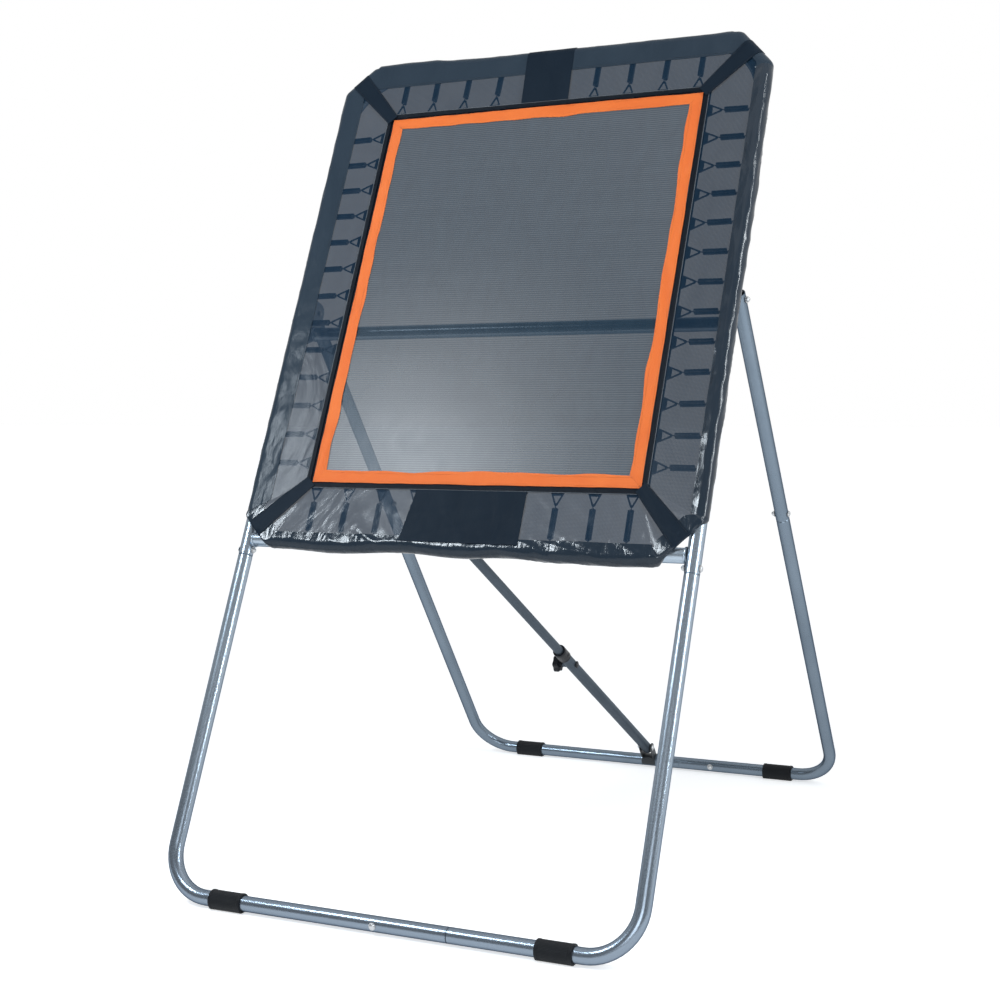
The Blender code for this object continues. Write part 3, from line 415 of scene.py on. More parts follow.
def copied(piece, matrix, name="copy"):
    made = linked(name, piece.data.copy())
    made.data.transform(matrix)
    if matrix.determinant() < 0:
        made.data.flip_normals()
    return made


def useModifier(piece, kind, **settings):
    only(piece)
    modifier = piece.modifiers.new(kind.title(), kind)
    for key, value in settings.items():
        setattr(modifier, key, value)
    bpy.ops.object.modifier_apply(modifier=modifier.name)


def facing(way):
    return way.to_track_quat("Z", "Y").to_euler()


def drawOut(shift):
    bpy.ops.mesh.extrude_region_move(TRANSFORM_OT_translate={"value": shift})


def editFaces(piece, chosen):
    only(piece)
    for thing in (*piece.data.vertices, *piece.data.edges):
        thing.select = False
    for face in piece.data.polygons:
        face.select = chosen(face)
    bpy.ops.object.mode_set(mode="EDIT")
    bpy.ops.mesh.select_mode(type="FACE")


def leaveFaces():
    bpy.ops.mesh.select_mode(type="VERT")
    bpy.ops.object.mode_set(mode="OBJECT")


def mergeDoubles():
    bpy.ops.mesh.select_all(action="SELECT")
    bpy.ops.mesh.remove_doubles(threshold=0.00001)


def leaveEdit():  # with every face turned outwards
    bpy.ops.mesh.select_all(action="SELECT")
    bpy.ops.mesh.normals_make_consistent(inside=False)
    bpy.ops.object.mode_set(mode="OBJECT")


def faceOutwards(piece):
    only(piece)
    bpy.ops.object.mode_set(mode="EDIT")
    leaveEdit()
    return piece


# A tube: a circle drawn out along its corners, spun round each bend, with a stepped neck at either end
tubeShape = dict(sides=40, wall=0.0015, neckGap=0.0003, neckStep=0.002, steps=14)


def bentTube(name, corners, radius, bend=0.0, startNeck=0.0, endNeck=0.0, steps=tubeShape["steps"]):
    corners = [Vector(corner) for corner in corners]
    gap, step = tubeShape["neckGap"], tubeShape["neckStep"]
    neckScale = (radius - tubeShape["wall"] - gap) / radius
    way = (corners[1] - corners[0]).normalized()
    here = corners[0] - way * startNeck
    bpy.ops.mesh.primitive_circle_add(vertices=tubeShape["sides"], radius=radius * (neckScale if startNeck else 1),
                                      location=here, rotation=facing(way))
    piece = bpy.context.object
    piece.name = name
    applyPlace()
    bpy.ops.object.mode_set(mode="EDIT")
    bpy.ops.mesh.edge_face_add()
    if startNeck:
        drawOut(corners[0] + way * gap - here)
        drawOut(way * step)
        here = corners[0] + way * (gap + step)
        bpy.ops.transform.resize(value=(1 / neckScale,) * 3, center_override=here)
    for before, corner, after in zip(corners, corners[1:], corners[2:]):
        back = (before - corner).normalized()
        onward = (after - corner).normalized()
        half = back.angle(onward) / 2
        run = bend / math.tan(half)
        drawOut(corner + back * run - here)
        centre = corner + (back + onward).normalized() * bend / math.sin(half)
        bpy.ops.mesh.spin(steps=steps, angle=math.pi - 2 * half, center=centre, axis=back.cross(onward))
        here = corner + onward * run
    way = (corners[-1] - corners[-2]).normalized()
    last = corners[-1] - way * (gap + step) if endNeck else corners[-1]
    drawOut(last - here)
    if endNeck:
        drawOut(way * step)
        bpy.ops.transform.resize(value=(neckScale,) * 3, center_override=last + way * step)
        drawOut(way * endNeck)
    mergeDoubles()
    leaveEdit()
    return piece


# An open tube end: the end face is set in by the wall and pushed down the tube
def hollowEnd(piece, spot, way, depth):
    editFaces(piece, lambda face: (face.center - spot).length < 0.004 and abs(face.normal.dot(way)) > 0.9)
    bpy.ops.mesh.inset(thickness=tubeShape["wall"], depth=0)
    drawOut(-way * depth)
    leaveFaces()


# Front frame tubes
tubes = dict(radius=0.018, sideU=0.590, legSeam=0.839, hoopSeam=1.574, topBar=2.243, lowerBar=0.882, seamGap=0.0003,
             hoopBend=0.170, hoopSteps=20, floorBend=0.115, barSeam=0.160, hoopNeck=0.062, legNeck=0.09, barNeck=0.24)
bothSides = (("left", -1), ("right", 1))
sideU, gap = tubes["sideU"], tubes["seamGap"]
for name, side in bothSides:
    u = side * sideU
    piece = bentTube("sideTube_" + name, [inPlane(u, tubes["legSeam"] + gap), inPlane(u, tubes["hoopSeam"] - gap)],
                     tubes["radius"], endNeck=tubes["hoopNeck"])
    finished(piece, tubePaint, replaces=["side_tube_" + name])
    corners = [inPlane(u, tubes["legSeam"] - gap), inPlane(u, 0), inPlane(tubes["barSeam"], 0)]
    piece = bentTube("frontLeg_" + name, corners, tubes["radius"], tubes["floorBend"], tubes["legNeck"],
                     tubes["barNeck"] if side > 0 else 0.0)
    finished(piece, tubePaint, replaces=["front_leg_" + name])

hoop = bentTube("topHoop", [inPlane(-sideU, tubes["hoopSeam"]), inPlane(-sideU, tubes["topBar"]),
                            inPlane(sideU, tubes["topBar"]), inPlane(sideU, tubes["hoopSeam"])],
                tubes["radius"], tubes["hoopBend"], steps=tubes["hoopSteps"])
finished(hoop, tubePaint, replaces=["top_hoop"])

# Cross bars: each has a rough weld bead at either end
bars = dict(
    lowerBar=dict(half=0.5745, v=tubes["lowerBar"], n=0, radius=tubes["radius"], bead=0.5705, node="lower_bar"),
    crossBar=dict(half=0.5686, v=1.477, n=-0.045, radius=0.017, bead=0.5672, node="cross_bar"),
)
weld = dict(proud=0.0004, thick=0.0021, lump=0.0009, lumpScale=260)
for name, b in bars.items():
    ends = [inPlane(side * b["half"], b["v"], b["n"]) for side in (-1, 1)]
    parts = [bentTube(name, ends, b["radius"])]
    for side in (-1, 1):
        bpy.ops.mesh.primitive_torus_add(major_radius=b["radius"] + weld["proud"], minor_radius=weld["thick"],
                                         major_segments=56, minor_segments=10, rotation=(0, math.pi / 2, 0),
                                         location=inPlane(side * b["bead"], b["v"], b["n"]))
        ring = bpy.context.object
        applyPlace()
        for vertex in ring.data.vertices:
            lump = noise.noise(vertex.co * weld["lumpScale"]) * weld["lump"]
            vertex.co += vertex.normal * lump
        parts.append(ring)
    finished(joined(parts, name), tubePaint, replaces=[b["node"]])
print("front frame done")

# Rear legs
rear = dict(radius=0.0175, bend=0.110, pivotV=1.540, pivotN=-0.046, spread=0.59168, taper=0.013, top=0.018,
            seam=0.672, boltSetback=0.014, barSeam=0.100, barBolt=0.200, legNeck=0.09, barNeck=0.16, hollow=0.03)
pivotPlace = inPlane(0, rear["pivotV"], rear["pivotN"])
rearBar = Vector((0, halfDepth, axisHeight))
legLength = (pivotPlace - rearBar).length
legUp = (pivotPlace - rearBar).normalized()


def onLeg(side, w):
    return pivotPlace + legUp * w + Vector((side * (rear["spread"] + rear["taper"] * w / legLength), 0, 0))


for name, side in bothSides:
    top = onLeg(side, rear["top"])
    seam = onLeg(side, -rear["seam"])
    piece = bentTube("rearLegUpper_" + name, [top, seam], rear["radius"])
    hollowEnd(piece, top, (top - seam).normalized(), rear["hollow"])
    finished(piece, rearShadedPaint, "rear_legs", ["rear_leg_upper_" + name])
    corners = [onLeg(side, -rear["seam"] - gap), onLeg(side, -legLength), rearBar + Vector((rear["barSeam"], 0, 0))]
    piece = bentTube("rearLegLower_" + name, corners, rear["radius"], rear["bend"], rear["legNeck"],
                     rear["barNeck"] if side < 0 else 0.0)
    finished(piece, rearShadedPaint, "rear_legs", ["rear_leg_lower_" + name])

# Strut: one tube slides in the other
strut = dict(outer=0.0155, inner=0.0125, length=0.775, overlap=0.200, end=0.013, baseUp=0.058, topV=0.895,
             topN=-0.045, knobAt=0.680, bossRadius=0.009, bossLong=0.0104, bossOut=0.0193, hollowEnd=0.02,
             hollowMouth=0.05)
strutBase = rearBar + legUp * strut["baseUp"]
strutTop = inPlane(0, strut["topV"], strut["topN"])
strutWay = (strutTop - strutBase).normalized()
foot, mouth = strutBase - strutWay * strut["end"], strutBase + strutWay * strut["length"]
knobPlace = strutBase + strutWay * strut["knobAt"]
outerTube = bentTube("strutOuterTube", [foot, mouth], strut["outer"])
hollowEnd(outerTube, foot, -strutWay, strut["hollowEnd"])
hollowEnd(outerTube, mouth, strutWay, strut["hollowMouth"])
bpy.ops.mesh.primitive_cylinder_add(vertices=36, radius=strut["bossRadius"], depth=strut["bossLong"],
                                    location=knobPlace + Vector((-strut["bossOut"], 0, 0)),
                                    rotation=(0, math.pi / 2, 0))
boss = bpy.context.object
useModifier(boss, "BEVEL", width=0.001, segments=3, limit_method="ANGLE")
finished(joined([outerTube, boss], "strutOuterTube"), strutPaint, "strut_outer", ["strut_outer_tube"])
innerEnd = strutTop + strutWay * strut["end"]
innerStart = strutBase + strutWay * (strut["length"] - strut["overlap"])
innerTube = bentTube("strutInnerTube", [innerStart, innerEnd], strut["inner"])
hollowEnd(innerTube, innerEnd, strutWay, strut["hollowEnd"])
finished(innerTube, strutPaint, "strut_inner", ["strut_inner_tube"])


# Turned pieces: a profile of (radius, height) spun about Z, then turned to its axis
def turnedPiece(name, profile, centre=(0, 0, 0), way=Vector((0, 0, 1)), sides=48):
    bpy.ops.mesh.primitive_circle_add(vertices=sides, radius=profile[0][0], location=(0, 0, profile[0][1]))
    piece = bpy.context.object
    piece.name = name
    applyPlace()
    bpy.ops.object.mode_set(mode="EDIT")
    for (lastR, lastZ), (r, z) in zip(profile, profile[1:]):
        bpy.ops.mesh.extrude_edges_move(TRANSFORM_OT_translate={"value": (0, 0, z - lastZ)})
        k = r / lastR
        bpy.ops.transform.resize(value=(k, k, 1), center_override=(0, 0, z))
    mergeDoubles()
    bpy.ops.mesh.select_all(action="DESELECT")
    bpy.ops.mesh.select_non_manifold()
    bpy.ops.mesh.edge_face_add()
    leaveEdit()
    piece.data.transform(Matrix.Translation(centre) @ facing(way).to_matrix().to_4x4())
    return piece


collar = dict(outer=0.0178, groove=0.0172, bore=0.0158, lip=0.0130, low=-0.0417, buttonBack=0.025,
              buttonRadius=0.0062)
outer, groove, bore, lip, low = (collar[k] for k in ("outer", "groove", "bore", "lip", "low"))
collarProfile = [
    (bore, low), (0.0170, low), (outer, -0.0408), (outer, -0.0385), (groove, -0.0380), (groove, -0.0352),
    (outer, -0.0347), (outer, -0.0040), (groove, -0.0035), (groove, -0.0012), (outer, -0.0007), (outer, 0.0022),
    (0.0171, 0.0033), (lip, 0.0033), (lip, 0.0003), (bore, 0.0003), (bore, low),
]
piece = turnedPiece("strutCollar", collarProfile, mouth, strutWay)
bpy.ops.mesh.primitive_uv_sphere_add(segments=24, ring_count=12, radius=collar["buttonRadius"], scale=(0.6, 1, 1),
                                     location=mouth - strutWay * collar["buttonBack"] + Vector((bore, 0, 0)))
button = bpy.context.object
applyPlace()
finished(joined([piece, button], "strutCollar"), plastic, "strut_outer", ["strut_collar"])

capProfile = [(0.0036, -0.0015), (0.0037, 0.0003), (0.0092, 0.0003), (0.0100, 0.0009), (0.0100, 0.0017),
              (0.0091, 0.0030), (0.0066, 0.0040), (0.0040, 0.0040), (0.0034, 0.0033), (0.0010, 0.0033)]
piece = turnedPiece("strutLockCap", capProfile, knobPlace + Vector((strut["outer"], 0, 0)), Vector((1, 0, 0)))
finished(piece, plastic, "strut_outer", ["strut_lock_cap"])

# Knob: soft lobes with a dished face, on a hub and stud
knob = dict(radius=0.0245, thick=0.016, lobes=6, lobeDeep=0.09, edge=0.0028, rim=0.004, dish=0.0012, hub=0.007,
            face=0.025)
bpy.ops.mesh.primitive_circle_add(vertices=96, radius=knob["radius"], fill_type="NGON")
grip = bpy.context.object
for vertex in grip.data.vertices:
    turn = math.atan2(vertex.co.y, vertex.co.x)
    vertex.co *= 1 - knob["lobeDeep"] + knob["lobeDeep"] * math.cos(knob["lobes"] * turn)
bpy.ops.object.mode_set(mode="EDIT")
drawOut((0, 0, knob["thick"]))
leaveEdit()
useModifier(grip, "BEVEL", width=knob["edge"], segments=4, limit_method="ANGLE", angle_limit=math.radians(60))
editFaces(grip, lambda face: face.normal.z > 0.99 and face.area > 0.0004)
bpy.ops.mesh.inset(thickness=knob["rim"])
bpy.ops.mesh.inset(thickness=knob["dish"], depth=-knob["dish"])
leaveFaces()
hubProfile = [(0.0040, -0.0335), (0.0041, -0.0075), (0.0100, -0.0072), (0.0110, -0.0062), (0.0110, 0.0005),
              (0.0050, 0.0010)]
piece = joined([grip, turnedPiece("knobHub", hubProfile)], "strutKnob")
outFace = knobPlace + Vector((-knob["face"] - knob["hub"], 0, 0))
piece.data.transform(Matrix.Translation(outFace) @ facing(Vector((-1, 0, 0))).to_matrix().to_4x4())
finished(piece, plastic, "knob", ["strut_knob"], smooth=35)
print("rear legs and strut done")

# Bolts: a domed head on a flange at one end, and a washer, hexagon nut and dome at the other, modelled once
bolt = dict(shank=0.004, washer=0.0086, washerBore=0.0045, washerThick=0.0011, head=0.0072, nut=0.0070,
            nutHeight=0.0046, throughTube=0.0364, throughRearTube=0.0354, setback=0.014, frontBarU=-0.020,
            pivotInside=0.56918, pivotSpare=0.0004, baseGrip=0.0390, topGrip=0.0340)
headProfile = [(bolt["washer"], 0.0), (bolt["washer"], 0.0010), (bolt["head"], 0.0011), (bolt["head"], 0.0020),
               (0.0066, 0.0034), (0.0052, 0.0045), (0.0030, 0.0051), (0.0008, 0.0053)]
boltHead = turnedPiece("boltHead", headProfile, sides=30)
washerProfile = [(bolt["washerBore"], 0.0), (bolt["washer"], 0.0), (bolt["washer"], bolt["washerThick"]),
                 (bolt["washerBore"], bolt["washerThick"])]
washer = turnedPiece("washer", washerProfile, sides=30)
bpy.ops.mesh.primitive_cylinder_add(vertices=6, radius=bolt["nut"], depth=bolt["nutHeight"],
                                    location=(0, 0, bolt["washerThick"] + bolt["nutHeight"] / 2))
nut = bpy.context.object
useModifier(nut, "BEVEL", width=0.0005, segments=2, limit_method="ANGLE")
domeProfile = [(0.0056, 0.0050), (0.0054, 0.0064), (0.0046, 0.0078), (0.0030, 0.0089), (0.0010, 0.0093)]
boltNut = joined([washer, nut, turnedPiece("dome", domeProfile, sides=24)], "boltNut")
applyPlace()
bpy.ops.mesh.primitive_cylinder_add(vertices=20, radius=bolt["shank"], depth=1.0)
shank = bpy.context.object


def boltAt(name, centre, way, grip, body, nodeName):
    at = Matrix.Translation(centre) @ facing(Vector(way)).to_matrix().to_4x4()
    flip = Matrix.Rotation(math.pi, 4, "X")
    end = Matrix.Translation((0, 0, grip / 2))
    parts = [copied(shank, at @ Matrix.Diagonal((1, 1, grip, 1))), copied(boltHead, at @ end),
             copied(boltNut, at @ flip @ end)]
    finished(joined(parts, name), zincPlate, body, [nodeName], smooth=32)


inside, outside = bolt["pivotInside"], rear["spread"] + rear["radius"]
for name, side in bothSides:
    across = Vector((side, 0, 0))
    boltAt("legBolt_" + name, inPlane(side * sideU, tubes["legSeam"] + bolt["setback"]), across,
           bolt["throughTube"], "front_frame", "leg_bolt_" + name)
    boltAt("rearLegBolt_" + name, onLeg(side, rear["boltSetback"] - rear["seam"]), across,
           bolt["throughRearTube"], "rear_legs", "rear_leg_bolt_" + name)
    boltAt("pivotBolt_" + name, inPlane(side * (inside + outside) / 2, rear["pivotV"], rear["pivotN"]), -across,
           outside - inside + bolt["pivotSpare"], "front_frame", "pivot_bolt_" + name)
boltAt("frontBarBolt", (bolt["frontBarU"], -halfDepth, axisHeight), (0, -1, 0), bolt["throughTube"],
       "front_frame", "front_bar_bolt")
boltAt("rearBarBolt", rearBar + Vector((rear["barBolt"], 0, 0)), (0, 1, 0), bolt["throughRearTube"],
       "rear_legs", "rear_bar_bolt")
boltAt("strutBaseBolt", strutBase, (1, 0, 0), bolt["baseGrip"], "rear_legs", "strut_base_bolt")
boltAt("strutTopPin", strutTop, (1, 0, 0), bolt["topGrip"], "strut_inner", "strut_top_pin")
for spare in (boltHead, boltNut, shank):
    bpy.data.objects.remove(spare)

# CAD pieces that keep their shape
for nodeName, material in (("pivot_plate_left", plateSteel), ("pivot_plate_right", plateSteel),
                           ("strut_top_bracket", bracketPaint), ("strut_base_bracket", bracketPaint),
                           ("hoop_button_left", zincPlate), ("hoop_button_right", zincPlate)):
    kept = nodes[nodeName].data
    kept.materials.clear()
    kept.materials.append(material)

# Feet: a ribbed sleeve with a rim at each end, on a flat pad, modelled once for each row
footShape = dict(radius=0.0222, rim=0.0229, rimWide=0.006, edge=0.001, length=0.086, pad=0.018, padTurn=62, ribs=44,
                 ribDeep=0.00045)
footRows = dict(
    front=dict(body="front_frame", y=-halfDepth, bore=0.0183, reach=0.413),
    rear=dict(body="rear_legs", y=halfDepth, bore=0.0178, reach=0.408),
)


def footModel(bore):
    half, rim, edge = footShape["length"] / 2, footShape["rim"], footShape["edge"]
    sleeve = -half + footShape["rimWide"]
    steps = [(bore, -half), (rim - edge, -half), (rim, -half + edge), (rim, sleeve),
             (footShape["radius"], sleeve + edge)]
    profile = steps + [(r, -z) for r, z in reversed(steps)] + [steps[0]]
    piece = turnedPiece("foot", profile, sides=2 * footShape["ribs"])
    pad, padTurn = footShape["pad"], math.radians(footShape["padTurn"])
    for vertex in piece.data.vertices:
        x, y, z = vertex.co
        reach, turn = math.hypot(x, y), math.atan2(y, x)
        if reach < bore + 0.001:
            continue
        if abs(z) < -sleeve - 0.0005 and round(turn * footShape["ribs"] / math.pi) % 2:
            reach -= footShape["ribDeep"]
        x, y = reach * math.cos(turn), reach * math.sin(turn)
        down = abs(math.atan2(x, -y))
        if down < padTurn:
            share = math.sin(down) / math.sin(padTurn)
            x = math.copysign(pad * share, x) + (x - math.copysign(pad, x)) * share ** 3
            y = -axisHeight + (y + axisHeight) * share ** 6
        vertex.co = (x, y, z)
    return faceOutwards(piece)


for row, f in footRows.items():
    model = footModel(f["bore"])
    for name, side in bothSides:
        upright = Matrix(((0, 0, 1, side * f["reach"]), (1, 0, 0, f["y"]), (0, 1, 0, axisHeight), (0, 0, 0, 1)))
        piece = copied(model, upright, row + "Foot_" + name)
        finished(piece, rubber, f["body"], [row + "_foot_" + name], smooth=25)
    bpy.data.objects.remove(model)
print("bolts and feet done")


# Sheets carry their own flat map in metres, so that weave and folds follow the cloth
def sheetPiece(name, rows, flatRows, thickness=0.0):
    wide = len(rows[0])
    cells = [((i, j), (i, j + 1), (i + 1, j + 1), (i + 1, j)) for i in range(len(rows) - 1) for j in range(wide - 1)]
    mesh = bpy.data.meshes.new(name)
    mesh.from_pydata([planeMatrix @ Vector(spot) for row in rows for spot in row], [],
                     [[i * wide + j for i, j in cell] for cell in cells])
    layer = mesh.uv_layers.new(name="flat")
    for polygon, cell in zip(mesh.polygons, cells):
        for loop, (i, j) in zip(polygon.loop_indices, cell):
            layer.data[loop].uv = flatRows[i][j]
    piece = linked(name, mesh)
    if mesh.polygons[0].normal.dot(planeMatrix.to_3x3() @ Vector((0, 0, 1))) < 0:
        mesh.flip_normals()
    if thickness:
        useModifier(piece, "SOLIDIFY", thickness=thickness, offset=0.0)
    return piece


def wave(u, v, scale, seed=0.0):
    return noise.noise(Vector((u * scale, v * scale, seed)))


def evenSteps(first, last, count):
    return [first + (last - first) * i / count for i in range(count + 1)]


mat = dict(halfU=0.440, low=1.0478, high=2.0862, across=44, up=52, slack=0.0004, edgeU=0.460, edgeLow=1.0275,
           edgeHigh=2.1065, borderLow=1.0395, borderHigh=2.0965)
us = evenSteps(-mat["halfU"], mat["halfU"], mat["across"])
vs = evenSteps(mat["low"], mat["high"], mat["up"])
# here this is only the net's real sag; the painted glow is in the net's material
rows = [[(u, v, mat["slack"] * wave(u, v, 9)) for u in us] for v in vs]
net = sheetPiece("matNet", rows, [[(u, v) for u in us] for v in vs])
finished(net, netCloth, replaces=["mat_net"], smooth=0)


def boxPaths(halfU, low, high):
    corners = [(-halfU, low), (halfU, low), (halfU, high), (-halfU, high)]
    return list(zip(corners, corners[1:] + corners[:1]))


# A ring of four mitred tapes; wobble draws its two edges in and out a little, as sewing does
tape = dict(step=0.009, lanes=6, outerWobble=0.25, middlePucker=0.5, cutApart=1.7)


def tapeRing(name, t):
    tapes = []
    inwards = ((0, 1), (-1, 0), (0, -1), (1, 0))
    for number, (ends, inward) in enumerate(zip(boxPaths(t["halfU"], t["low"], t["high"]), inwards)):
        first, last, inward = Vector(ends[0]), Vector(ends[1]), Vector(inward)
        way = (last - first).normalized()
        length = (last - first).length
        steps = int(length / tape["step"])
        lanes, middle = tape["lanes"], tape["lanes"] // 2
        rows, flats = [], []
        for i in range(steps + 1):
            row, flat = [], []
            for j in range(lanes + 1):
                c = t["width"] * j / lanes
                s = c + (length - 2 * c) * i / steps
                edge = abs(j - middle) / middle
                shift = t["wobble"] * wave(s, number * 3.1 + j * 0.02, 12, 5.0) * edge
                spot = first + way * s + inward * (c + shift * (1 if j > middle else tape["outerWobble"]))
                lift = wave(s, number * 5.7, 34, 2.0) * edge + tape["middlePucker"] * wave(s, c + number, 12)
                row.append((spot.x, spot.y, t["n"] + t["pucker"] * lift))
                flat.append((c, s + number * tape["cutApart"]))
            rows.append(row)
            flats.append(flat)
        tapes.append(sheetPiece(name, rows, flats, t["thick"]))
    return joined(tapes, name)


borderShape = dict(halfU=mat["halfU"], low=mat["borderLow"], high=mat["borderHigh"], width=0.0315, n=0.0023,
                   thick=0.0012, wobble=0.0062, pucker=0.0009)
border = tapeRing("orangeBorder", borderShape)
finished(border, orangeWebbing, replaces=["mat_border"], smooth=50)
matHem = tapeRing("matHem", dict(halfU=mat["edgeU"], low=mat["edgeLow"], high=mat["edgeHigh"], width=0.0197,
                                 n=0.0, thick=0.0024, wobble=0.0, pucker=0.0002))


# Sewing thread: short dashes along paths in the plane's frame, each a three-sided bead of a few faces
stitch = dict(long=0.66, tips=0.35, tipRise=0.2, middleRise=0.8, round=0.9)


def stitches(name, paths, pitch, radius):
    verts, faces = [], []
    for path in paths:
        spare = 0.0
        for first, last in zip(path, path[1:]):
            first, last = Vector(first), Vector(last)
            way = (last - first).normalized()
            aside = Vector((-way.y, way.x, 0)).normalized()
            run = (last - first).length
            while spare < run:
                start = first + way * spare
                base = len(verts)
                for s, size in ((0.0, stitch["tips"]), (0.5, 1.0), (1.0, stitch["tips"])):
                    spot = start + way * pitch * stitch["long"] * s
                    rise = radius * (stitch["tipRise"] + stitch["middleRise"] * math.sin(math.pi * s))
                    for a, h in ((-1, 0), (0, 1), (1, 0)):
                        across = spot + aside * radius * size * a
                        verts.append(planeMatrix @ (across + Vector((0, 0, rise * h * stitch["round"]))))
                for r in (base, base + 3):
                    faces += [(r, r + 1, r + 4, r + 3), (r + 1, r + 2, r + 5, r + 4), (r + 2, r, r + 3, r + 5)]
                faces += [(base, base + 2, base + 1), (base + 6, base + 7, base + 8)]
                spare += pitch
            spare -= run
    mesh = bpy.data.meshes.new(name)
    mesh.from_pydata(verts, [], faces)
    mesh.uv_layers.new(name="flat")
    return faceOutwards(linked(name, mesh))


sewing = dict(insets=(0.004, 0.0255), mitre=(0.003, 0.029), lift=0.0006, pitch=0.0052, radius=0.00055)
seams = []
for inset in sewing["insets"]:
    seams += boxPaths(mat["halfU"] - inset, mat["borderLow"] + inset, mat["borderHigh"] - inset)
for du, dv in ((1, 1), (1, -1), (-1, 1), (-1, -1)):
    seams.append([(du * (mat["halfU"] - inset), mat["borderLow"] + inset if dv < 0 else mat["borderHigh"] - inset)
                  for inset in sewing["mitre"]])
threadN = borderShape["n"] + sewing["lift"]
seams = [[(*first, threadN), (*last, threadN)] for first, last in seams]
borderThread = stitches("borderStitching", seams, sewing["pitch"], sewing["radius"])
finished(borderThread, threadMaterial, smooth=0)
print("net and border done")

# One spring with its triangular ring, along +X from the mat's edge, copied to all 46 places
spring = dict(ringReach=0.035, ringHalf=0.0185, ringWire=0.0026, coil=0.0066, wire=0.0013, hook=0.008, pitch=0.0029,
              coilEnd=0.011, swing=0.04)


def wirePiece(points, radius, cyclic=False, resolution=1):
    curve = bpy.data.curves.new("wire", "CURVE")
    curve.dimensions = "3D"
    curve.bevel_depth = radius
    curve.bevel_resolution = resolution
    curve.use_fill_caps = True
    spline = curve.splines.new("POLY")
    spline.points.add(len(points) - 1)
    for point, spot in zip(spline.points, points):
        point.co = (*spot, 1)
    spline.use_cyclic_u = cyclic
    only(linked("wire", curve))
    bpy.ops.object.convert(target="MESH")
    return bpy.context.object


def springModel(reach):
    coilR, wire, ringEnd, half = spring["coil"], spring["wire"], spring["ringReach"], spring["ringHalf"]
    low = ringEnd + spring["hook"] - 0.001
    high = reach - spring["coilEnd"]
    turns = int((high - low) / spring["pitch"])
    bpy.ops.mesh.primitive_circle_add(vertices=6, radius=wire, location=(coilR, 0, 0), rotation=(math.pi / 2, 0, 0))
    coil = bpy.context.object
    applyPlace()
    useModifier(coil, "SCREW", axis="Z", angle=2 * math.pi, screw_offset=(high - low) / turns, iterations=turns,
                steps=11, render_steps=11, use_normal_calculate=True)
    coil.data.transform(Matrix.Translation((low, 0, 0)) @ Matrix.Rotation(math.pi / 2, 4, "Y"))
    ring = [(-0.004, -half, 0), (-0.005, -half + 0.002, 0), (-0.005, half - 0.002, 0), (-0.004, half, 0),
            (ringEnd - 0.003, 0.0022, 0), (ringEnd - 0.0015, 0, 0), (ringEnd - 0.003, -0.0022, 0)]
    near = [(low + 0.0015, 0, -coilR), (low - 0.001, 0, -0.0035), (low - 0.003, 0, 0.0), (ringEnd + 0.001, 0, 0.0026),
            (ringEnd - 0.0035, 0, 0.0026), (ringEnd - 0.0055, 0, 0.0), (ringEnd - 0.0035, 0, -0.0024)]
    far = [(high - 0.0015, 0, -coilR), (high + 0.001, 0, -0.0035), (high + 0.003, 0, 0.0), (reach - 0.002, 0, 0.001),
           (reach + 0.003, 0, 0)]
    parts = [coil, wirePiece(ring, spring["ringWire"], cyclic=True), wirePiece(near, wire), wirePiece(far, wire)]
    made = joined(parts, "spring")
    bpy.ops.object.mode_set(mode="EDIT")
    mergeDoubles()
    bpy.ops.mesh.fill_holes(sides=0)
    leaveEdit()
    return made


sideSprings = evenSteps(1.0915, 2.0425, 12)  # 13 of them
endSprings = evenSteps(-0.423, 0.423, 9)  # 10 of them
springRows = [  # side, reach from the mat's edge to the tube, places
    ("Left", 0.112, [((-mat["edgeU"], v), (-1, 0), (0, 1)) for v in sideSprings]),
    ("Right", 0.112, [((mat["edgeU"], v), (1, 0), (0, 1)) for v in sideSprings]),
    ("Top", 0.1185, [((u, mat["edgeHigh"]), (0, 1), (1, 0)) for u in endSprings]),
    ("Bottom", 0.1275, [((u, mat["edgeLow"]), (0, -1), (1, 0)) for u in endSprings]),
]


def alongEdge(model, reach, places, swing, seed):
    copies = []
    for number, (spot, out, edgeWay) in enumerate(places):
        turn = Matrix.Rotation(swing * wave(number, reach, seed), 4, "Z")
        local = Matrix(((out[0], edgeWay[0], 0, spot[0]), (out[1], edgeWay[1], 0, spot[1]), (0, 0, 1, 0),
                        (0, 0, 0, 1)))
        copies.append(copied(model, planeMatrix @ local @ turn))
    return copies


for name, reach, places in springRows:
    model = springModel(reach)
    row = joined(alongEdge(model, reach, places, spring["swing"], 3.7), "springs" + name)
    bpy.data.objects.remove(model)
    finished(row, springWire, replaces=["spring_row_" + name.lower()], smooth=60)
finished(matHem, hemTape, smooth=50)

# Webbing loops that hold the rings on the mat's edge: one folded tab, copied to each ring
ringLoop = dict(inside=0.012, outside=0.0095, wide=0.026, thick=0.0072, innerThick=0.45, round=0.0028, swing=0.09)
inside, outside = ringLoop["inside"], ringLoop["outside"]
bpy.ops.mesh.primitive_cube_add(size=1, location=((outside - inside) / 2, 0, 0),
                                scale=(outside + inside, ringLoop["wide"], ringLoop["thick"]))
tab = bpy.context.object
applyPlace()
for vertex in tab.data.vertices:
    if vertex.co.x < 0:
        vertex.co.z *= ringLoop["innerThick"]
useModifier(tab, "BEVEL", width=ringLoop["round"], segments=3, limit_method="NONE")
tabs = []
for name, reach, places in springRows:
    tabs += alongEdge(tab, reach, places, ringLoop["swing"], 5.1)
bpy.data.objects.remove(tab)
tabs = joined(tabs, "ringLoops")
tabs.data.uv_layers[0].name = "flat"
finished(tabs, hemTape, smooth=60)
print("springs done")

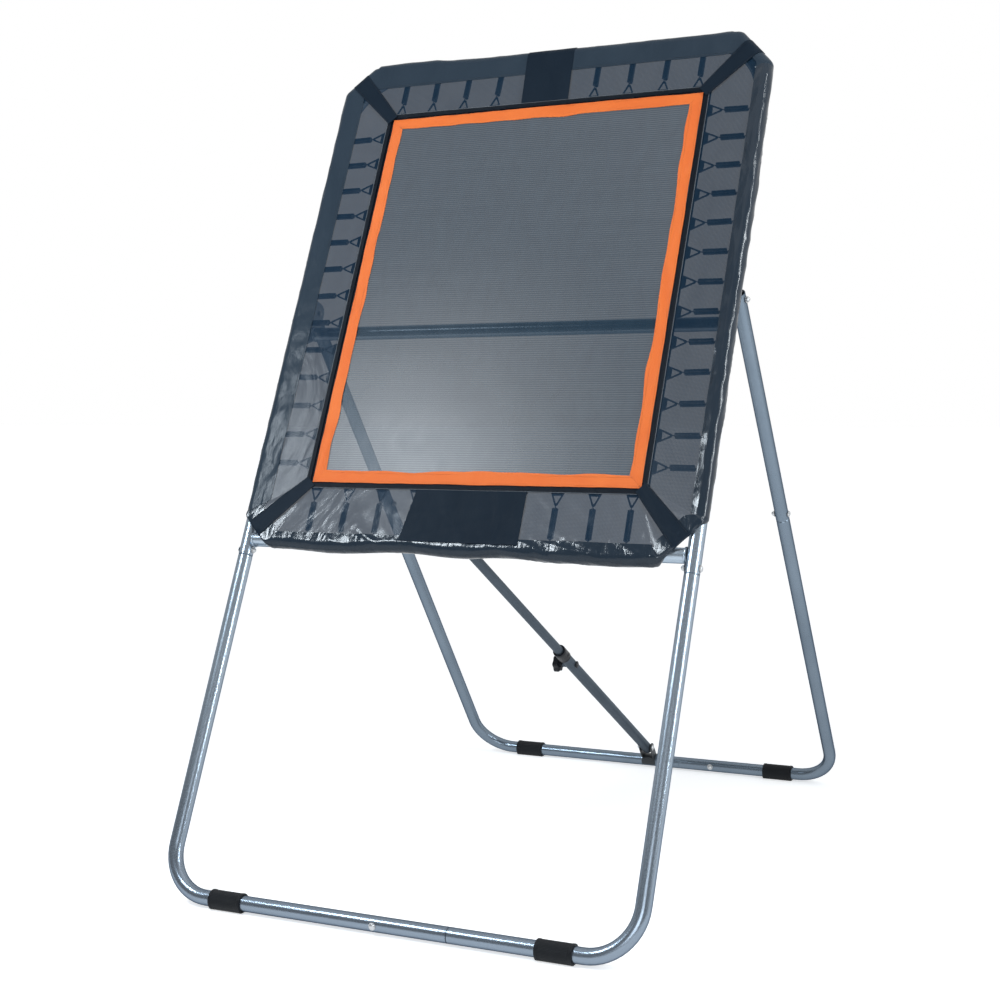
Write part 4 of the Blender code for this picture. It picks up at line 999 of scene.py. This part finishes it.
# Cover: window mesh, bands, straps, panels and hem all lie on one surface, drawn from these numbers.
# Share 0 is the inner hem, 1 the front of the tube, 2 the end of the wrap behind it.
cover = dict(
    innerU=0.446, innerLow=1.0350, innerHigh=2.1000, innerRound=0.008, innerN=0.0030,
    outline=[(-0.6095, 0.946), (-0.6095, 2.188), (-0.530, 2.266), (0.520, 2.2625),
             (0.6095, 2.162), (0.6095, 0.9615), (0.513, 0.855), (-0.522, 0.8625)],
    rounding=0.025, wrapR=0.0195, frontN=0.0198, hemR=0.0016, hemN=0.0225, lead=-8, wrapTurn=165, hemShare=0.072,
    bandLines=((0, -0.545), (1, 2.195), (0, 0.575), (1, 0.897)), bandLimit=(0.95, 0.95, 0.76, 0.76), step=0.0065,
    turnSteps=5, edgeSteps=18, ease=0.2, runApart=1.7, cornerApart=1.25,
    dips=[(-0.50, 0.0), (-0.33, 0.005), (-0.15, -0.004), (0.01, 0.003), (0.13, -0.004), (0.26, 0.002), (0.36, 0.003),
          (0.46, 0.003), (0.50, 0.001)],
    rises=[(-0.52, 0.007), (-0.44, 0.009), (-0.36, 0.009), (-0.28, 0.003), (-0.20, 0.0), (0.40, 0.0), (0.50, 0.002)],
    bulge=(0.003, 1.77, 0.16),
    creases=[((-0.342, 0.946), (-0.203, 0.873), 0.0045), ((0.255, 0.893), (0.318, 0.930), 0.004),
             ((0.300, 0.915), (0.345, 0.885), 0.003), ((-0.300, 0.975), (-0.262, 0.905), 0.003),
             ((-0.560, 1.020), (-0.545, 1.170), 0.0025), ((-0.545, 0.965), (-0.470, 1.030), 0.002)],
)


def smoothStep(x):
    x = min(max(x, 0.0), 1.0)
    return x * x * (3 - 2 * x)


def outward(first, last):
    way = (last - first).normalized()
    return Vector((-way.y, way.x))


def tableAt(table, u):
    for (u0, d0), (u1, d1) in zip(table, table[1:]):
        if u0 <= u <= u1:
            return d0 + (d1 - d0) * smoothStep((u - u0) / (u1 - u0))
    return 0.0


# Stations round the cover: four long sides and the four slanting corners between them
def coverStations(c):
    ends = [Vector(spot) for spot in c["outline"]]
    u, low, high, small = c["innerU"], c["innerLow"], c["innerHigh"], c["innerRound"]
    inner = [Vector(spot) for spot in ((-u, low), (-u, high), (u, high), (u, low))]
    sides, corners = [], []
    for j in range(4):
        a, b, far, beyond = (ends[(2 * j + k) % 8] for k in range(4))
        ways = [outward(ends[2 * j - 1], a), outward(a, b), outward(b, far), outward(far, beyond)]
        run = (b - a).normalized()
        first = a + run * c["rounding"] * math.tan(ways[0].angle(ways[1]) / 2)
        last = b - run * c["rounding"] * math.tan(ways[1].angle(ways[2]) / 2)
        innerFirst, innerLast = inner[j] + run * small, inner[(j + 1) % 4] - run * small
        side = []
        for t in evenSteps(0, 1, round((last - first).length / c["step"])):
            out = first.lerp(last, t)
            if j == 1:
                out.y += tableAt(c["rises"], out.x)
            if j == 2:
                out.x += c["bulge"][0] * math.exp(-((out.y - c["bulge"][1]) / c["bulge"][2]) ** 2)
            if j == 3:
                out.y -= tableAt(c["dips"], out.x)
            side.append(dict(out=out, way=ways[1], inner=innerFirst.lerp(innerLast, t), flat=0.0, limit=1.0,
                             along=(last - first).length * t + c["runApart"] * j))
        marks = []
        for apex, one, other in ((b, ways[1], ways[2]), (far, ways[2], ways[3])):
            centre = apex - (one + other).normalized() * c["rounding"] / math.cos(one.angle(other) / 2)
            arc = [one.slerp(other, t) for t in evenSteps(0, 1, c["turnSteps"])]
            marks.append([(centre + way * c["rounding"], way) for way in arc])
        straight = evenSteps(0, 1, c["edgeSteps"])[1:-1]
        between = [(marks[0][-1][0].lerp(marks[1][0][0], t), ways[2]) for t in straight]
        path = marks[0] + between + marks[1]
        lengths = [0.0]
        for (before, _), (after, _) in zip(path, path[1:]):
            lengths.append(lengths[-1] + (after - before).length)
        innerCentre = inner[(j + 1) % 4] - (ways[1] + ways[3]) * small
        corner = []
        for (out, way), length in zip(path, lengths):
            f = length / lengths[-1]
            eased = smoothStep(min(f, 1 - f) / c["ease"])
            corner.append(dict(out=out, way=way, inner=innerCentre + ways[1].slerp(ways[3], f) * small,
                               flat=eased if j > 1 else 0.0, limit=1 + (c["bandLimit"][j] - 1) * eased,
                               along=length + c["runApart"] * j + c["cornerApart"]))
        sides.append(side)
        corners.append(corner)
    return sides, corners


def bandShare(station):  # where the vinyl band begins
    start = station["out"] - station["way"] * cover["wrapR"]
    shares = [station["limit"]]
    for axis, line in cover["bandLines"]:
        reach = start[axis] - station["inner"][axis]
        if abs(reach) > 0.02 and (line - station["inner"][axis]) / reach > 0:
            shares.append((line - station["inner"][axis]) / reach)
    return min(shares)


cloth = dict(
    slow=0.0014, slowAlong=6.0, slowAcross=1.1, folds=0.0012, foldsAlong=21.0, foldsAcross=1.6, foldsBend=1.6,
    sharp=0.0016, sharpAlong=11.0, sharpAcross=2.2, sharpSlant=2.4, sharpNarrow=3.2, hollow=-0.0006, calmHem=0.25,
    calmEnds=5, calmest=0.001, calmLeft=0.45, calmLeftTo=(-0.05, 0.3), creaseWide=0.006, creaseEnds=0.06)


def creaseAt(spot):
    height = 0.0
    for first, last, rise in cover["creases"]:
        first, last = Vector(first), Vector(last)
        t = min(max((spot - first).dot(last - first) / (last - first).length_squared, 0.0), 1.0)
        gap = (spot - first.lerp(last, t)).length
        swell = math.sin(math.pi * (cloth["creaseEnds"] + (1 - 2 * cloth["creaseEnds"]) * t))
        height += rise * math.exp(-gap / cloth["creaseWide"]) * swell
    return height


# How far the cloth stands off its plain surface: slow waves, folds across the run and a few sharp creases
def crumple(spot, along, share, amount):
    c = cloth
    slow = noise.noise(Vector((along * c["slowAlong"], share * c["slowAcross"], 1.3)))
    folds = noise.noise(Vector((along * c["foldsAlong"] + c["foldsBend"] * slow, share * c["foldsAcross"], 7.7)))
    lines = noise.noise(Vector((along * c["sharpAlong"] + share * c["sharpSlant"], share * c["sharpAcross"], 4.1)))
    sharp = max(0.0, 1 - c["sharpNarrow"] * abs(lines))
    rise = c["slow"] * slow + c["folds"] * folds + c["sharp"] * sharp ** 2
    return amount * rise + (creaseAt(spot) if amount else 0.0)


def coverSpot(station, share, lift=0.0, amount=0.0):
    c, flat, way = cover, station["flat"], station["way"]
    r = c["wrapR"] + (c["hemR"] - c["wrapR"]) * flat
    middle = station["out"] - way * r
    middleN = c["frontN"] + (c["hemN"] - c["frontN"]) * flat - r
    lead, last, reach = math.radians(c["lead"]), math.radians(c["wrapTurn"]), r + lift
    start = middle + way * reach * math.sin(lead)
    if share <= 1:
        place = station["inner"].lerp(start, share)
        n = c["innerN"] + lift + (middleN + reach * math.cos(lead) - c["innerN"] - lift) * share
        across, rise, flatSpot = Vector((0, 0)), 1.0, place
    else:
        turn = lead + (share - 1) * (last - lead)
        across, rise = way * math.sin(turn), math.cos(turn)
        place, n = middle + across * reach, middleN + rise * reach
        flatSpot = start + way * reach * (turn - lead)
    off = crumple(flatSpot, station["along"], share, amount) * smoothStep(share / cloth["calmHem"])
    off = max(off, cloth["hollow"])
    return (place.x + across.x * off, place.y + across.y * off, n + rise * off), (flatSpot.x, flatSpot.y)


# The bottom pieces are smoother on the left, and every piece is calm at its two ends
def coverPiece(name, stations, shares, lift=0.0, amount=0.0, thickness=0.0):
    rows, flats = [], []
    for number, station in enumerate(stations):
        local = amount
        if "Bottom" in name:
            start, run = cloth["calmLeftTo"]
            local *= cloth["calmLeft"] + (1 - cloth["calmLeft"]) * smoothStep((station["out"].x - start) / run)
        fromEnd = min(number, len(stations) - 1 - number)
        local *= cloth["calmest"] + (1 - cloth["calmest"]) * smoothStep(fromEnd / cloth["calmEnds"])
        spots = [coverSpot(station, share, lift, local) for share in shares(station)]
        rows.append([spot for spot, flat in spots])
        flats.append([flat for spot, flat in spots])
    return sheetPiece(name, rows, flats, thickness)


cut = dict(underHem=0.03, underBand=0.015, windowRows=12, faceRows=5, wrapRows=18)


def windowShares(station):
    return evenSteps(cover["hemShare"] - cut["underHem"], bandShare(station) + cut["underBand"], cut["windowRows"])


def bandShares(station):
    return evenSteps(bandShare(station), 1.0, cut["faceRows"])[:-1] + evenSteps(1.0, 2.0, cut["wrapRows"])


(left, top, rightSide, bottom), (highLeft, highRight, lowRight, lowLeft) = coverStations(cover)
runs = dict(Left=left, Top=highLeft + top[1:-1] + highRight, Right=rightSide,
            Bottom=lowRight + bottom[1:-1] + lowLeft)
coverLooks = dict(  # crumple is how much the cloth stands in folds
    Left=dict(window=litSatinWindow, windowCrumple=0.25, band=vinyl, bandCrumple=0.55),
    Top=dict(window=windowCloth, windowCrumple=0.2, band=vinyl, bandCrumple=0.45),
    Right=dict(window=windowCloth, windowCrumple=0.2, band=glossyVinyl, bandCrumple=1.0),
    Bottom=dict(window=litGlossWindow, windowCrumple=0.9, band=creasedVinyl, bandCrumple=1.1),
)
bandShape = dict(lift=0.0009, thick=0.0011)
windows, bands = {}, {}
for name, look in coverLooks.items():
    windows[name] = coverPiece("window" + name, runs[name], windowShares, 0.0, look["windowCrumple"])
    finished(windows[name], look["window"], replaces=["cover_window_" + name.lower()], smooth=0)
    for polygon in windows[name].data.polygons:
        polygon.use_smooth = True
    bands[name] = coverPiece("band" + name, runs[name], bandShares, bandShape["lift"], look["bandCrumple"],
                             bandShape["thick"])
    finished(bands[name], look["band"], replaces=["cover_wrap_" + name.lower()], smooth=80)

# Inner hem, with a fine piping bead along its outer edge; the bead's light grey is partly a painted highlight of the
# hem's edge
hem = dict(lift=0.0010, thick=0.0012, width=0.145, beadRadius=0.0011, beadOut=0.004, beadLift=0.0016)
ring = left + highLeft[1:] + top[1:] + highRight[1:] + rightSide[1:] + lowRight[1:] + bottom[1:] + lowLeft[1:-1]
ring = ring[::2]
shares = evenSteps(0.0, cover["hemShare"], 4)
rows = [[coverSpot(station, share, hem["lift"])[0] for share in shares] for station in ring + ring[:1]]
flats = [[(share * hem["width"], station["along"]) for share in shares] for station in ring + ring[:1]]
hemStrip = sheetPiece("coverHem", rows, flats, hem["thick"])
finished(hemStrip, hemTape, smooth=60)
path = [inPlane(*coverSpot(station, cover["hemShare"] + hem["beadOut"], hem["beadLift"])[0]) for station in ring]
bead = wirePiece(path, hem["beadRadius"], cyclic=True, resolution=2)
bead.name = "coverPiping"
finished(bead, pipingCloth, smooth=60)


# A strap or panel across the cover, from stations of its own between two edges
patchThick = 0.0012


def patchPiece(name, p, replaces=()):
    rows, flats = [], []
    for w in evenSteps(-1, 1, p["count"]):
        station = dict(out=p["out"] + p["side"] * w * p["outHalf"], way=p["way"], flat=p["flat"],
                       inner=p["inner"] + p["side"] * w * p["innerHalf"], along=w * p["outHalf"] + p["seed"])
        row, flat = [], []
        for share in p["shares"]:
            lift = p["lift"] + (p["innerLift"] - p["lift"]) * max(0.0, 1 - share)
            spot, flatSpot = coverSpot(station, share, lift, p["amount"])
            row.append(spot)
            along = (Vector(flatSpot) - p["inner"]).dot(p["way"])
            flat.append((w * (p["innerHalf"] + (p["outHalf"] - p["innerHalf"]) * min(share, 1)), along))
        rows.append(row)
        flats.append(flat)
    piece = sheetPiece(name, rows, flats, patchThick)
    return finished(piece, panelCloth, replaces=replaces, smooth=60)


strap = dict(outHalf=0.026, innerHalf=0.0165, lift=0.0022, innerLift=0.0044, amount=0.35, tuck=0.004, seamAt=0.86,
             threadLift=0.0007, sewn=(0.02, 0.98), lowEnd=1.6, highEnd=1.93, rows=14, count=10)
straps, strapSeams = [], []
for high, across, corner, seed in (("high", "Left", highLeft, 3.0), ("high", "Right", highRight, 5.0),
                                   ("low", "Right", lowRight, 7.0), ("low", "Left", lowLeft, 9.0)):
    middle = corner[len(corner) // 2]
    way, flat = middle["way"], middle["flat"]
    side = Vector((-way.y, way.x))
    inner = middle["inner"] - way * strap["tuck"]
    shares = evenSteps(0.0, 1.0, strap["rows"])[:-1] + evenSteps(1.0, strap[high + "End"], strap["rows"])
    straps.append(patchPiece("strap_" + high + across, dict(
        strap, out=middle["out"], inner=inner, way=way, side=side, flat=flat, seed=seed, shares=shares),
        ["cover_corner_%s_%s" % (high, across.lower())]))
    for w in (-strap["seamAt"], strap["seamAt"]):
        station = dict(out=middle["out"] + side * w * strap["outHalf"], way=way, flat=flat,
                       inner=inner + side * w * strap["innerHalf"], along=w * strap["outHalf"] + seed)
        extra = strap["innerLift"] - strap["lift"]
        strapSeams.append([coverSpot(station, share, strap["lift"] + extra * (1 - share) + strap["threadLift"],
                                     strap["amount"])[0] for share in evenSteps(*strap["sewn"], strap["rows"])])

topPanel = patchPiece("panelTop", dict(
    out=Vector((0.0065, 2.2642)), inner=Vector((0.0065, 2.1000)), way=Vector((0, 1)), side=Vector((-1, 0)),
    outHalf=0.0665, innerHalf=0.0665, flat=0.0, seed=11.0, lift=0.0022, innerLift=0.0036, amount=0.3, count=22,
    shares=evenSteps(0.077, 1.0, 18)[:-1] + evenSteps(1.0, 1.93, 16)))
bottomPanel = patchPiece("panelBottom", dict(
    out=Vector((0.008, 0.8615)), inner=Vector((0.012, 1.0350)), way=Vector((0, -1)), side=Vector((1, 0)),
    outHalf=0.158, innerHalf=0.146, flat=0.0, seed=13.0, lift=0.0024, innerLift=0.0034, amount=0.5, count=44,
    shares=evenSteps(0.085, 0.995, 22)))

# Stitching: along each band's inner edge, along the hem, and down both edges of every strap
coverSewing = dict(bandOut=0.035, bandLift=0.0016, skip=6, hemIn=0.018, hemLift=0.0017, pitch=0.0062, radius=0.0006)
seams = []
for run in runs.values():
    seams.append([coverSpot(station, bandShare(station) + coverSewing["bandOut"], coverSewing["bandLift"])[0]
                  for station in run[coverSewing["skip"]:-coverSewing["skip"]]])
seams.append([coverSpot(station, cover["hemShare"] - coverSewing["hemIn"], coverSewing["hemLift"])[0]
              for station in ring])
coverThread = stitches("coverStitching", seams + strapSeams, coverSewing["pitch"], coverSewing["radius"])
finished(coverThread, blackThread, smooth=0)
print("cover done")


# Stage: pale floor that keeps the shadow, white surroundings, soft studio lights
studio = dict(floorSize=60, floorLow=-0.0005, floorRough=0.75, floorSpecular=0.15, floorCloud=0.6,
              glow=(1.2, 5.0, 0.54, 0.72), sky=(0.92, 0.96, 1.0, 1), skyStrength=0.36, room=(-0.35, 0.25, 0.30, 1.0))


def anyRay(tree, *kinds):
    rays = node(tree, "ShaderNodeLightPath").outputs
    level = rays[kinds[0]]
    for kind in kinds[1:]:
        level = math2(tree, "MAXIMUM", level, rays[kind])
    return level


bpy.ops.mesh.primitive_plane_add(size=studio["floorSize"], location=(0, 0, studio["floorLow"]))
floor = bpy.context.object
floor.name = "floor"
paper, tree, shader = startMaterial("studio floor", {
    "Roughness": studio["floorRough"], "Specular IOR Level": studio["floorSpecular"], "Emission Color": (1, 1, 1, 1)})
cloud = placed(tree, cloudGroup, Scale=studio["floorCloud"])[0]
tree.links.new(mixed(tree, cloud, (0.82, 0.825, 0.83), (0.86, 0.862, 0.865)), shader.inputs["Base Color"])
away = node(tree, "ShaderNodeVectorMath", {0: solidPlace(tree)}, operation="LENGTH").outputs["Value"]
seen = anyRay(tree, "Is Camera Ray", "Is Glossy Ray", "Is Transmission Ray")
glow = math2(tree, "MULTIPLY", seen, ranged(tree, away, *studio["glow"]))
tree.links.new(glow, shader.inputs["Emission Strength"])
floor.data.materials.append(paper)

world = bpy.data.worlds.new("studio")
bpy.context.scene.world = world
world.use_nodes = True
tree = world.node_tree
tree.nodes.clear()
plain = node(tree, "ShaderNodeBackground", {"Color": studio["sky"], "Strength": studio["skyStrength"]})
towards = node(tree, "ShaderNodeSeparateXYZ", {0: node(tree, "ShaderNodeTexCoord").outputs["Generated"]})
room = ranged(tree, towards.outputs[1], *studio["room"])
level = math2(tree, "MAXIMUM", room, anyRay(tree, "Is Camera Ray", "Is Transmission Ray"))
white = node(tree, "ShaderNodeBackground", {"Color": (1, 1, 1, 1), "Strength": level})
seen = anyRay(tree, "Is Camera Ray", "Is Glossy Ray", "Is Transmission Ray")
both = node(tree, "ShaderNodeMixShader", {0: seen, 1: plain.outputs[0], 2: white.outputs[0]})
node(tree, "ShaderNodeOutputWorld", {"Surface": both.outputs[0]})


def softBox(name, place, aim, size, power, colour=(1, 1, 1)):
    bpy.ops.object.light_add(type="AREA", location=place)
    lamp = bpy.context.object
    lamp.name = name
    lamp.rotation_euler = (Vector(aim) - Vector(place)).to_track_quat("-Z", "Y").to_euler()
    lamp.data.shape = "RECTANGLE"
    lamp.data.size, lamp.data.size_y = size
    lamp.data.energy = power
    lamp.data.color = colour


softBox("keyBox", (-1.60, -2.20, 2.86), (0, -0.35, 1.2), (0.62, 0.48), 52, (0.84, 0.93, 1.0))
softBox("overhead", (0.4, -0.6, 4.4), (0, 0, 0.8), (3.0, 3.0), 13)
softBox("rightRim", (3.2, -0.75, 2.5), (0.6, -0.3, 1.2), (0.20, 2.9), 66, (0.90, 0.96, 1.0))
softBox("frontFill", (1.6, -4.8, 1.6), (0, 0, 0.8), (2.2, 1.6), 54, (0.93, 0.97, 1.0))

bpy.context.scene.view_settings.view_transform = "Standard"
print("stage done")
